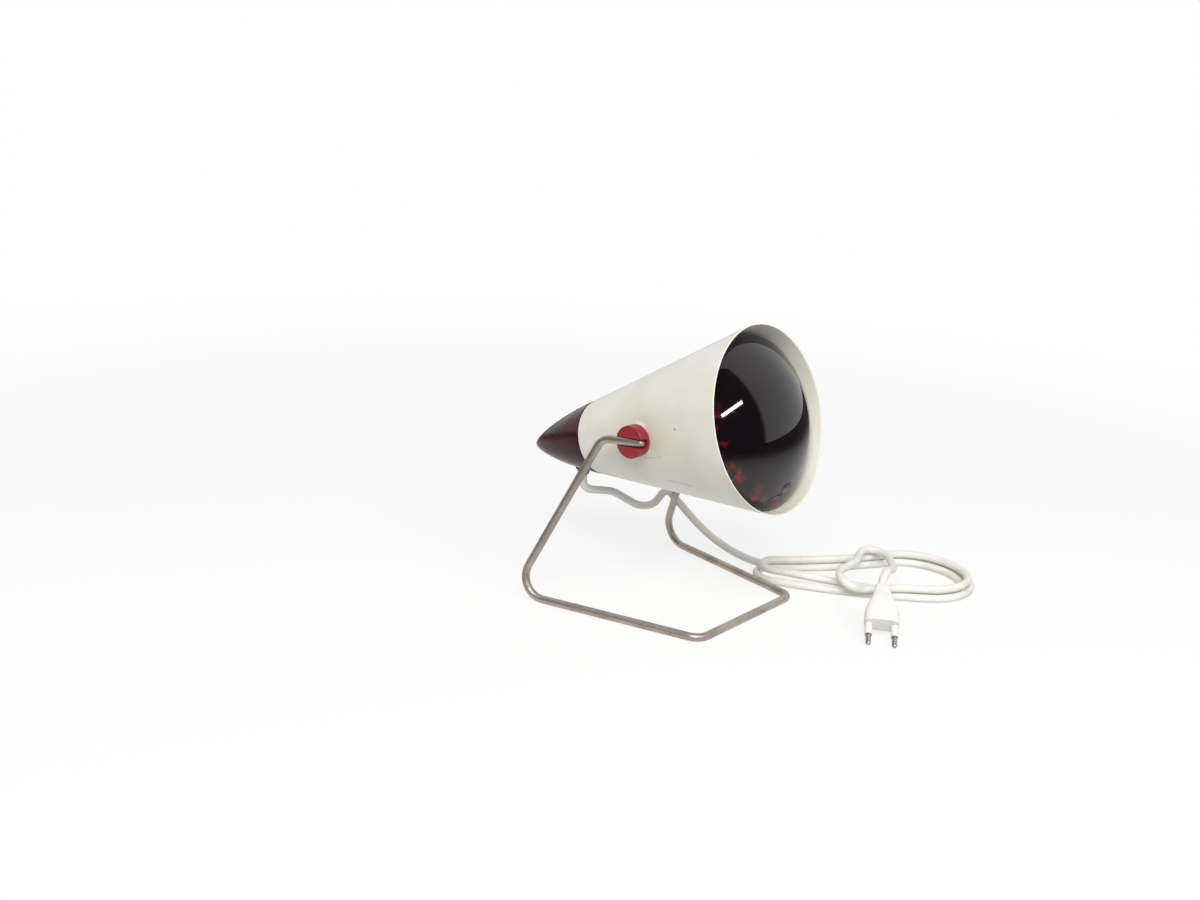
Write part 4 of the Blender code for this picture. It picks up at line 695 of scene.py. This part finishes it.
def maroon_bakelite():
    """Phenolic with dark flow streaks along the pull of the mould and lighter bands along it, partly flow
    marks and partly painted highlight; polished and a little dulled.
    """
    made, tree, shader, place = surface("maroon_bakelite")
    own = node(tree, "Mapping", {"Vector": place, "Location": PIVOT,
                                 "Rotation": (math.pi / 2 - TILT, 0, 0)}, vector_type="TEXTURE")
    drawn_out = node(tree, "Mapping", {"Vector": own.outputs[0], "Scale": (1, 1, 0.06)})
    streaks = patch(tree, drawn_out.outputs[0], 260, 0.40, 0.72)
    # Lighter lengthwise bands: partly the moulding's flow marks, partly a painted highlight along the cap
    broad_flow_and_sheen = patch(tree, drawn_out.outputs[0], 55, 0.40, 0.70)
    colour = tinted(tree, broad_flow_and_sheen, "451A20", MAROON)
    tree.links.new(tinted(tree, streaks, "260C11", colour), shader.inputs["Base Color"])
    dulled = patch(tree, place, 90, 0.45, 0.75)
    gloss = node(tree, "MapRange", {"Value": dulled, "To Min": 0.20, "To Max": 0.34})
    tree.links.new(gloss.outputs[0], shader.inputs["Roughness"])
    shader.inputs["Specular IOR Level"].default_value = 0.28
    shader.inputs["Specular Tint"].default_value = linear("8C5552")
    grained(tree, shader, patch(tree, place, 700, 0.3, 0.7), 0.00001)
    return made


rings = [(SHADE_TAIL_RADIUS - CAP_EDGE, SHADE_TAIL_RADIUS - CAP_EDGE, CAP_TOP)]
for step in range(CAP_RINGS):
    share = math.sin(math.pi / 2 * step / (CAP_RINGS - 1)) * CAP_TIP_SHARE
    radius = SHADE_TAIL_RADIUS * (1 - share ** CAP_FULLNESS) ** CAP_BLUNTNESS
    rings.append((radius, radius, CAP_TOP - max(CAP_LENGTH * share, CAP_EDGE)))
cap = pulled("bakelite_cap", rings, CAP_SIDES)
bpy.ops.object.mode_set(mode="EDIT")
bpy.ops.mesh.select_all(action="DESELECT")
bpy.ops.object.mode_set(mode="OBJECT")
tip_height = min(vertex.co.z for vertex in cap.data.vertices)
for vertex in cap.data.vertices:
    vertex.select = vertex.co.z < tip_height + CAP_EDGE / 1000
bpy.ops.object.mode_set(mode="EDIT")
bpy.ops.mesh.merge(type="CENTER")
bpy.ops.mesh.select_all(action="SELECT")
bpy.ops.mesh.normals_make_consistent(inside=False)
bpy.ops.object.mode_set(mode="OBJECT")
wall = cap.modifiers.new("wall", "SOLIDIFY")
wall.thickness = CAP_WALL
wall.offset = -1
bush_mid = (bush_low + bush_high) / 2
bush_place = LAMP.inverted() @ Vector((bush_mid.x, CORD_EXIT.y, bush_high.z))
bpy.ops.object.select_all(action="DESELECT")
bpy.ops.mesh.primitive_cylinder_add(vertices=64, radius=BUSH_HOLE, depth=0.03)
punch = bpy.context.object
punch.matrix_world = Matrix.Translation(bush_place) @ Matrix.Rotation(-(math.pi / 2 - TILT), 4, "X")
hole = cap.modifiers.new("cord_hole", "BOOLEAN")
hole.object = punch
hole.solver = "EXACT"
bakelite = maroon_bakelite()
for side in (-1, 1):
    bpy.ops.mesh.primitive_cylinder_add(vertices=32, radius=BOSS_RADIUS, depth=BOSS_LENGTH,
                                        location=(side * BOSS_OUT, 0, CAP_TOP - BOSS_LENGTH / 2))
    boss = bpy.context.object
    boss.name = "cap_boss_" + ("left" if side > 0 else "right")
    finish_up(boss, LAMP @ boss.matrix_world)
    boss.data.materials.append(bakelite)
    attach(boss, "head")
bpy.context.view_layer.update()
finish_up(cap)
bpy.data.objects.remove(punch, do_unlink=True)
finish_up(cap, LAMP)
bpy.ops.object.shade_smooth_by_angle(angle=math.radians(35))
cap.data.materials.append(bakelite)
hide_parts("tail_cap")
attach(cap, "head")


# Bush: a grey rubber grommet round the cord, gripping the cap's wall between two collars, with
# a short tapered sleeve outside.
BUSH_LIP_RADIUS = 0.0045
BUSH_BORE = 0.0035
BUSH_COLLAR = 0.0064
BUSH_OUT = 0.0050           # sleeve outside the cap
COLLAR_THICKNESS = 0.0012


def grey_rubber():
    """Moulded rubber gone dull and slightly chalky with age."""
    made, tree, shader, place = surface("grey_grommet_rubber")
    chalk = patch(tree, place, 260, 0.42, 0.70)
    tree.links.new(tinted(tree, chalk, "A09D97", "7F7C77"), shader.inputs["Base Color"])
    shader.inputs["Roughness"].default_value = 0.72
    grained(tree, shader, patch(tree, place, 1500, 0.3, 0.7), 0.00003)
    return made


depth = bush_high.z - bush_low.z
bush = pulled("cord_grommet", [
    (BUSH_BORE, BUSH_BORE, 0), (BUSH_LIP_RADIUS - 0.0003, BUSH_LIP_RADIUS - 0.0003, 0),
    (BUSH_LIP_RADIUS, BUSH_LIP_RADIUS, 0.0003),
    (0.0050, 0.0050, BUSH_OUT - COLLAR_THICKNESS), (0.0061, 0.0061, BUSH_OUT - COLLAR_THICKNESS),
    (BUSH_COLLAR, BUSH_COLLAR, BUSH_OUT - COLLAR_THICKNESS + 0.0003),
    (BUSH_COLLAR, BUSH_COLLAR, BUSH_OUT - FLEX_GAP), (0.0050, 0.0050, BUSH_OUT - FLEX_GAP),
    (0.0050, 0.0050, depth), (BUSH_BORE, BUSH_BORE, depth), (BUSH_BORE, BUSH_BORE, 0)],
    TURNED_SIDES)
finish_up(bush, Matrix.Translation(CORD_EXIT))
bush.data.materials.append(grey_rubber())
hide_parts("cord_bush")
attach(bush, "head")


# Bulb: a blown reflector bulb of ruby glass. Its front is a shallow dome with a tight shoulder,
# and the parabola behind is silvered. It looks nearly black, with a painted red glow where light gets
# through.
BULB_RADIUS = 0.0625
BULB_LENGTH = 0.1810
BULB_FRONT = 0.0980
BULB_DROP = 0.0016
GLASS_WALL = 0.0012
BASE_LENGTH = 0.0270
NECK_GLASS_RADIUS = 0.0200
NECK_START = 0.0030
NECK_ROUNDING = 0.0070
NECK_END_RADIUS = 0.0116
REFLECTOR_ANGLE = math.radians(20)
BULB_SHOULDER = 0.0060
FRONT_CURVE = 0.0920
BULB_SIDES = 192
BULB_AXIS = LAMP @ Matrix.Translation((0, -BULB_DROP, 0))
FRONT_STEPS, SHOULDER_STEPS, REFLECTOR_STEPS, NECK_STEPS = 48, 14, 40, 6


def bulb_rings():
    """(radius, radius, height) rings of the glass, from its front to the neck's end."""
    lean = math.asin((BULB_RADIUS - BULB_SHOULDER) / (FRONT_CURVE - BULB_SHOULDER))
    front = BULB_FRONT - FRONT_CURVE
    widest = front + (FRONT_CURVE - BULB_SHOULDER) * math.cos(lean)
    line = []
    for step in range(1, FRONT_STEPS):
        angle = lean * step / FRONT_STEPS
        line.append((FRONT_CURVE * math.sin(angle), front + FRONT_CURVE * math.cos(angle)))
    turn_end = math.pi / 2 + REFLECTOR_ANGLE
    for step in range(SHOULDER_STEPS + 1):
        angle = lean + (turn_end - lean) * step / SHOULDER_STEPS
        line.append((BULB_RADIUS - BULB_SHOULDER + BULB_SHOULDER * math.sin(angle),
                     widest + BULB_SHOULDER * math.cos(angle)))
    joint_radius, joint_height = line[-1]
    growth = 2 * joint_radius * math.tan(REFLECTOR_ANGLE)
    for step in range(1, REFLECTOR_STEPS + 1):
        radius = joint_radius + (NECK_GLASS_RADIUS - joint_radius) * step / REFLECTOR_STEPS
        line.append((radius, joint_height - (joint_radius ** 2 - radius ** 2) / growth))
    spread = BULB_FRONT - BULB_LENGTH + BASE_LENGTH + NECK_START
    for step in range(NECK_STEPS + 1):
        t = step / NECK_STEPS
        line.append((NECK_GLASS_RADIUS + (NECK_END_RADIUS - NECK_GLASS_RADIUS) * smooth_step(t),
                     spread + NECK_ROUNDING * (1 - t)))
    line.append((NECK_END_RADIUS, BULB_FRONT - BULB_LENGTH + BASE_LENGTH / 2))
    return [(radius, radius, height) for radius, height in line]


def ruby_glass():
    """Selenium-ruby glass over a dark inside: black at rest, with a painted red glow, broken, near its left
    and lower edge in place of light that comes round inside, and silvering behind the shoulder."""
    made, tree, shader, place = surface("ruby_bulb_glass")
    own = node(tree, "Mapping", {"Vector": place, "Location": PIVOT,
                                 "Rotation": (math.pi / 2 - TILT, 0, 0)}, vector_type="TEXTURE")
    parts = node(tree, "SeparateXYZ", {"Vector": own.outputs[0]})
    flat = node(tree, "CombineXYZ", {"X": parts.outputs["X"], "Y": parts.outputs["Y"]})
    out = node(tree, "VectorMath", {0: flat.outputs[0]}, operation="LENGTH")
    painted_glow_rim = node(tree, "MapRange", {"Value": out.outputs["Value"], "From Min": 0.048,
                                        "From Max": 0.061})
    # Where the painted red glow lies: towards the right and below, in the lamp's own frame
    lower = node(tree, "VectorMath", {0: flat.outputs[0], 1: (-0.80, -0.60, 0)},
                 operation="DOT_PRODUCT")
    painted_glow_side = node(tree, "MapRange", {"Value": lower.outputs["Value"], "From Min": 0.026,
                                    "From Max": 0.058})
    broken = patch(tree, own.outputs[0], 105, 0.50, 0.66, 3.0)
    # Painted red glow: red painted near the rim on one side, broken by noise, in place of light coming
    # through the glass
    glow = node(tree, "Math", {0: painted_glow_rim.outputs[0], 1: painted_glow_side.outputs[0]}, operation="MULTIPLY")
    glow = node(tree, "Math", {0: glow.outputs[0], 1: broken}, operation="MULTIPLY")
    tint = patch(tree, own.outputs[0], 26, 0.46, 0.72)
    colour = tinted(tree, tint, "1C0A10", "0D060A")
    # The painted red glow laid over the glass's own dark tone
    colour = tinted(tree, glow.outputs[0], "8E1523", colour)
    behind = node(tree, "MapRange", {"Value": parts.outputs["Z"], "From Min": 0.0645,
                                     "From Max": 0.0635})
    tree.links.new(tinted(tree, behind.outputs[0], "B9BABB", colour), shader.inputs["Base Color"])
    tree.links.new(behind.outputs[0], shader.inputs["Metallic"])
    dusty = patch(tree, place, 130, 0.50, 0.80)
    gloss = node(tree, "MapRange", {"Value": dusty, "To Min": 0.035, "To Max": 0.09})
    tree.links.new(gloss.outputs[0], shader.inputs["Roughness"])
    shader.inputs["IOR"].default_value = 1.52
    return made


bulb = pulled("ruby_bulb", bulb_rings(), BULB_SIDES)
bpy.ops.object.mode_set(mode="EDIT")
bpy.ops.mesh.select_all(action="DESELECT")
bpy.ops.object.mode_set(mode="OBJECT")
front_height = max(vertex.co.z for vertex in bulb.data.vertices)
for vertex in bulb.data.vertices:
    vertex.select = vertex.co.z > front_height - GLASS_WALL / 1000
bpy.ops.object.mode_set(mode="EDIT")
bpy.ops.mesh.extrude_edges_move(TRANSFORM_OT_translate={"value": (0, 0, BULB_FRONT - front_height)})
bpy.ops.mesh.merge(type="CENTER")
bpy.ops.mesh.select_all(action="SELECT")
bpy.ops.mesh.normals_make_consistent(inside=False)
bpy.ops.object.mode_set(mode="OBJECT")
wall = bulb.modifiers.new("glass", "SOLIDIFY")
wall.thickness = GLASS_WALL
wall.offset = -1
finish_up(bulb, BULB_AXIS)
bpy.ops.object.shade_smooth_by_angle(angle=math.radians(35))
bulb.data.materials.append(ruby_glass())
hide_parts("bulb_glass")
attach(bulb, "head")


# Knobs: red urea mouldings, one on each side, clamped on the pivot screw. The stand's end lies
# in a round-bottomed groove across each.
KNOB_RADIUS = 0.0120
KNOB_HEIGHT = 0.0093
KNOB_BACK = SEAT_HALF + FLEX_GAP
KNOB_FACE = KNOB_BACK + KNOB_HEIGHT
KNOB_EDGE = 0.0009
KNOB_RED = "8E1721"
WIRE_DIAMETER = 0.0060
WIRE_RADIUS = WIRE_DIAMETER / 2
WIRE_PROUD = 0.0010
WIRE_AT_PIVOT = KNOB_FACE - WIRE_RADIUS + WIRE_PROUD
SHOULDER_HALF = 0.0611
SHOULDER_BACK = 0.0235
SHOULDER_DROP = 0.0018
STUB_REACH = 0.0113         # wire past the pivot axis, nearly to the knob's rim
SLOT_LENGTH = 0.03


def stub_way(side):
    """Direction of the wire through a knob, from its tip to the upper bend."""
    return Vector((side * (SHOULDER_HALF - WIRE_AT_PIVOT), SHOULDER_BACK,
                   -SHOULDER_DROP)).normalized()


def red_urea():
    """Urea moulding: an even red with a faint cloud and darker grime, satin."""
    made, tree, shader, place = surface("red_moulded_urea")
    cloud = patch(tree, place, 150, 0.42, 0.72)
    grime = patch(tree, place, 420, 0.64, 0.74)
    colour = tinted(tree, cloud, "9A1E28", KNOB_RED)
    tree.links.new(tinted(tree, grime, "7E161D", colour), shader.inputs["Base Color"])
    gloss = node(tree, "MapRange", {"Value": cloud, "To Min": 0.32, "To Max": 0.46})
    tree.links.new(gloss.outputs[0], shader.inputs["Roughness"])
    grained(tree, shader, patch(tree, place, 900, 0.3, 0.7), 0.00003)
    return made


red = red_urea()
for word, side in (("right", -1), ("left", 1)):
    r, e = KNOB_RADIUS, KNOB_EDGE
    bpy.context.view_layer.objects.active = None
    knob = pulled("red_knob_" + word, [
        (r - e / 2, r - e / 2, KNOB_BACK), (r, r, KNOB_BACK + e / 2), (r, r, KNOB_FACE - e),
        (r - 0.13 * e, r - 0.13 * e, KNOB_FACE - 0.5 * e), (r - 0.5 * e, r - 0.5 * e, KNOB_FACE - 0.13 * e),
        (r - e, r - e, KNOB_FACE)], 2 * TURNED_SIDES, "CLOSED")
    outward = aimed(PIVOT, (side, 0, 0), (0, 0, 1))
    finish_up(knob, outward)
    way = stub_way(side)
    middle = PIVOT + Vector((side * WIRE_AT_PIVOT, 0, 0))
    half = WIRE_RADIUS + FLEX_GAP
    cutters = []
    bpy.ops.mesh.primitive_cylinder_add(vertices=64, radius=half, depth=SLOT_LENGTH)
    bpy.context.object.matrix_world = aimed(middle, way, (side, 0, 0))
    cutters.append(bpy.context.object)
    bpy.ops.mesh.primitive_cube_add(size=1)
    bpy.context.object.matrix_world = (
        aimed(middle + Vector((side * KNOB_HEIGHT / 2, 0, 0)), way, (side, 0, 0))
        @ Matrix.Diagonal((KNOB_HEIGHT, 2 * half, SLOT_LENGTH, 1)))
    cutters.append(bpy.context.object)
    for cutter in cutters:
        cut = knob.modifiers.new("groove", "BOOLEAN")
        cut.object = cutter
        cut.solver = "EXACT"
    bpy.context.view_layer.update()
    finish_up(knob)
    bpy.ops.object.shade_smooth_by_angle(angle=math.radians(35))
    for cutter in cutters:
        bpy.data.objects.remove(cutter, do_unlink=True)
    knob.data.materials.append(red)
    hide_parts("knob_" + word)
    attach(knob, "stand")


# Stand: one steel rod of 6 mm, bent cold from knob to knob round the foot, its ends rounded,
# and nickelled. The plating has gone dull in patches and is pitted.
FOOT_FRONT = 0.0746
FOOT_FRONT_HALF = 0.0595
FOOT_REAR = 0.0740
FOOT_REAR_HALF = 0.0936
FOOT_FLAT = 0.00015
BENDS = (0.0110, 0.0165, 0.0110)        # at the shoulder, the rear corner and the front corner
BEND_STEPS = 20
ROD_RESOLUTION = 10
DOME_STEPS = 8


def rounded(corners, radii, steps):
    """A path of straight runs whose corners are arcs of the given radii."""
    points = [corners[0]]
    for before, corner, after, radius in zip(corners, corners[1:], corners[2:], radii):
        back = (before - corner).normalized()
        ahead = (after - corner).normalized()
        half = back.angle(ahead) / 2
        centre = corner + (back + ahead).normalized() * (radius / math.sin(half))
        start = corner + back * (radius / math.tan(half)) - centre
        end = corner + ahead * (radius / math.tan(half)) - centre
        sweep = start.angle(end)
        for step in range(steps + 1):
            t = step / steps
            points.append(centre + start * (math.sin((1 - t) * sweep) / math.sin(sweep))
                          + end * (math.sin(t * sweep) / math.sin(sweep)))
    return points + [corners[-1]]


def dull_nickel():
    """Old nickel plate: satin, warm grey, with drawing lines, dull patches and brown pits."""
    made, tree, shader, place = surface("dull_nickel_plate")
    patches = patch(tree, place, 45, 0.42, 0.72)
    pits = patch(tree, place, 620, 0.66, 0.72, 2.0)
    colour = tinted(tree, patches, "968E84", "B3ABA2")
    tree.links.new(tinted(tree, pits, "5E5347", colour), shader.inputs["Base Color"])
    shader.inputs["Metallic"].default_value = 1.0
    dull = node(tree, "MapRange", {"Value": patches, "To Min": 0.42, "To Max": 0.56})
    tree.links.new(dull.outputs[0], shader.inputs["Roughness"])
    grained(tree, shader, patch(tree, place, 1100, 0.3, 0.7), 0.00002)
    return made


halves = []
for side in (-1, 1):
    middle = PIVOT + Vector((side * WIRE_AT_PIVOT, 0, 0))
    foot = WIRE_RADIUS - FOOT_FLAT
    halves.append([
        middle - stub_way(side) * STUB_REACH,
        PIVOT + Vector((side * SHOULDER_HALF, SHOULDER_BACK, -SHOULDER_DROP)),
        Vector((side * FOOT_REAR_HALF, PIVOT.y + FOOT_REAR, foot)),
        Vector((side * FOOT_FRONT_HALF, PIVOT.y - FOOT_FRONT, foot))])
bend_radii = list(BENDS) + list(BENDS[::-1])
line = rounded(halves[0] + halves[1][::-1], bend_radii, BEND_STEPS)
dome = [(WIRE_RADIUS * (1 - math.cos(a)), math.sin(a))
        for a in [math.pi / 2 * (i + 0.5) / DOME_STEPS for i in range(DOME_STEPS)]]
starts = [(line[0] + stub_way(-1) * along, share) for along, share in dome]
ends = [(line[-1] + stub_way(1) * along, share) for along, share in dome][::-1]
whole = starts + [(point, 1.0) for point in line[1:-1]] + ends
wire = rod("bent_wire_stand", [point for point, share in whole], WIRE_RADIUS, ROD_RESOLUTION,
           [share for point, share in whole])
for vertex in wire.data.vertices:
    vertex.co.z = max(vertex.co.z, 0.0)
wire.data.materials.append(dull_nickel())
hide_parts("stand_wire")
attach(wire, "stand")


# Fittings: the holder, its plate and screws, the bulb's screw cap and inside, and the pivots'
# screws, washers and nuts. They are plain turned, pressed or moulded parts, finished as bought.
def fitting(name, colour, marked, roughness, metallic, fineness, depth):
    """A plain finish: a colour with finer marks in another, and a grain of a real depth."""
    made, tree, shader, place = surface(name)
    marks = patch(tree, place, fineness, 0.45, 0.70)
    tree.links.new(tinted(tree, marks, marked, colour), shader.inputs["Base Color"])
    shader.inputs["Metallic"].default_value = metallic
    dull = node(tree, "MapRange", {"Value": marks, "To Min": roughness,
                                   "To Max": roughness + 0.12})
    tree.links.new(dull.outputs[0], shader.inputs["Roughness"])
    grained(tree, shader, marks, depth)
    return made


FITTINGS = [
    # Passivated zinc over steel: pale, slightly blue, spangled
    (fitting("zinc_plated_steel", "B7B9BC", "9A9C9F", 0.34, 1.0, 500, 0.00001),
     ["holder_plate", "holder_ring_nut", "cord_clamp", "cap_screw_right", "cap_screw_left",
      "clamp_screw_right", "clamp_screw_left", "filament_wire_right", "filament_wire_left",
      "pivot_washer_right", "pivot_washer_left", "spring_washer_right", "spring_washer_left",
      "pivot_nut_right", "pivot_nut_left", "pivot_screw_right", "pivot_screw_left"]),
    # Bare brass, tarnished in patches
    (fitting("bare_brass", "C7A45C", "98783C", 0.28, 1.0, 300, 0.00001),
     ["screw_shell", "centre_contact", "bulb_tip", "terminal_screw_live",
      "terminal_screw_neutral"]),
    # Rolled aluminium screw cap, matt
    (fitting("rolled_aluminium", "C9CACB", "AEB0B1", 0.36, 1.0, 420, 0.00001), ["bulb_base"]),
    # Glazed porcelain: white, wet-looking, a few kiln specks
    (fitting("glazed_porcelain", "ECE9E1", "D8D2C4", 0.10, 0.0, 160, 0.00002),
     ["lampholder_body"]),
    # Black cap glass
    (fitting("black_cap_glass", "17171A", "232327", 0.10, 0.0, 200, 0.00001),
     ["bulb_insulator"]),
    # Lead-glass stem, clear and faintly grey
    (fitting("clear_stem_glass", "C9CED0", "B5BBBE", 0.06, 0.0, 120, 0.00001), ["bulb_stem"]),
    # Coiled tungsten, dark grey
    (fitting("coiled_tungsten", "6A6A6C", "4A4A4C", 0.45, 1.0, 2500, 0.00003), ["filament"]),
    # Core sheaths, brown for live and blue for neutral
    (fitting("brown_core_pvc", "6B3A20", "5A2F18", 0.42, 0.0, 400, 0.00001), ["lead_live"]),
    (fitting("blue_core_pvc", "2A4F9A", "213F7C", 0.42, 0.0, 400, 0.00001), ["lead_neutral"]),
    # Vulcanised fibre, grey, with short felted hairs
    (fitting("vulcanised_fibre", "7A766F", "5F5B54", 0.75, 0.0, 900, 0.00004),
     ["pivot_bush_right", "pivot_bush_left"]),
    # The cord inside the cap, in the same sheath as outside
    (bpy.data.materials["cream_pvc_sheath"], ["cord_inner"]),
]
for finish, names in FITTINGS:
    for name in names:
        fitted = frame["nodes"][name]
        fitted.data.materials.clear()
        fitted.data.materials.append(finish)
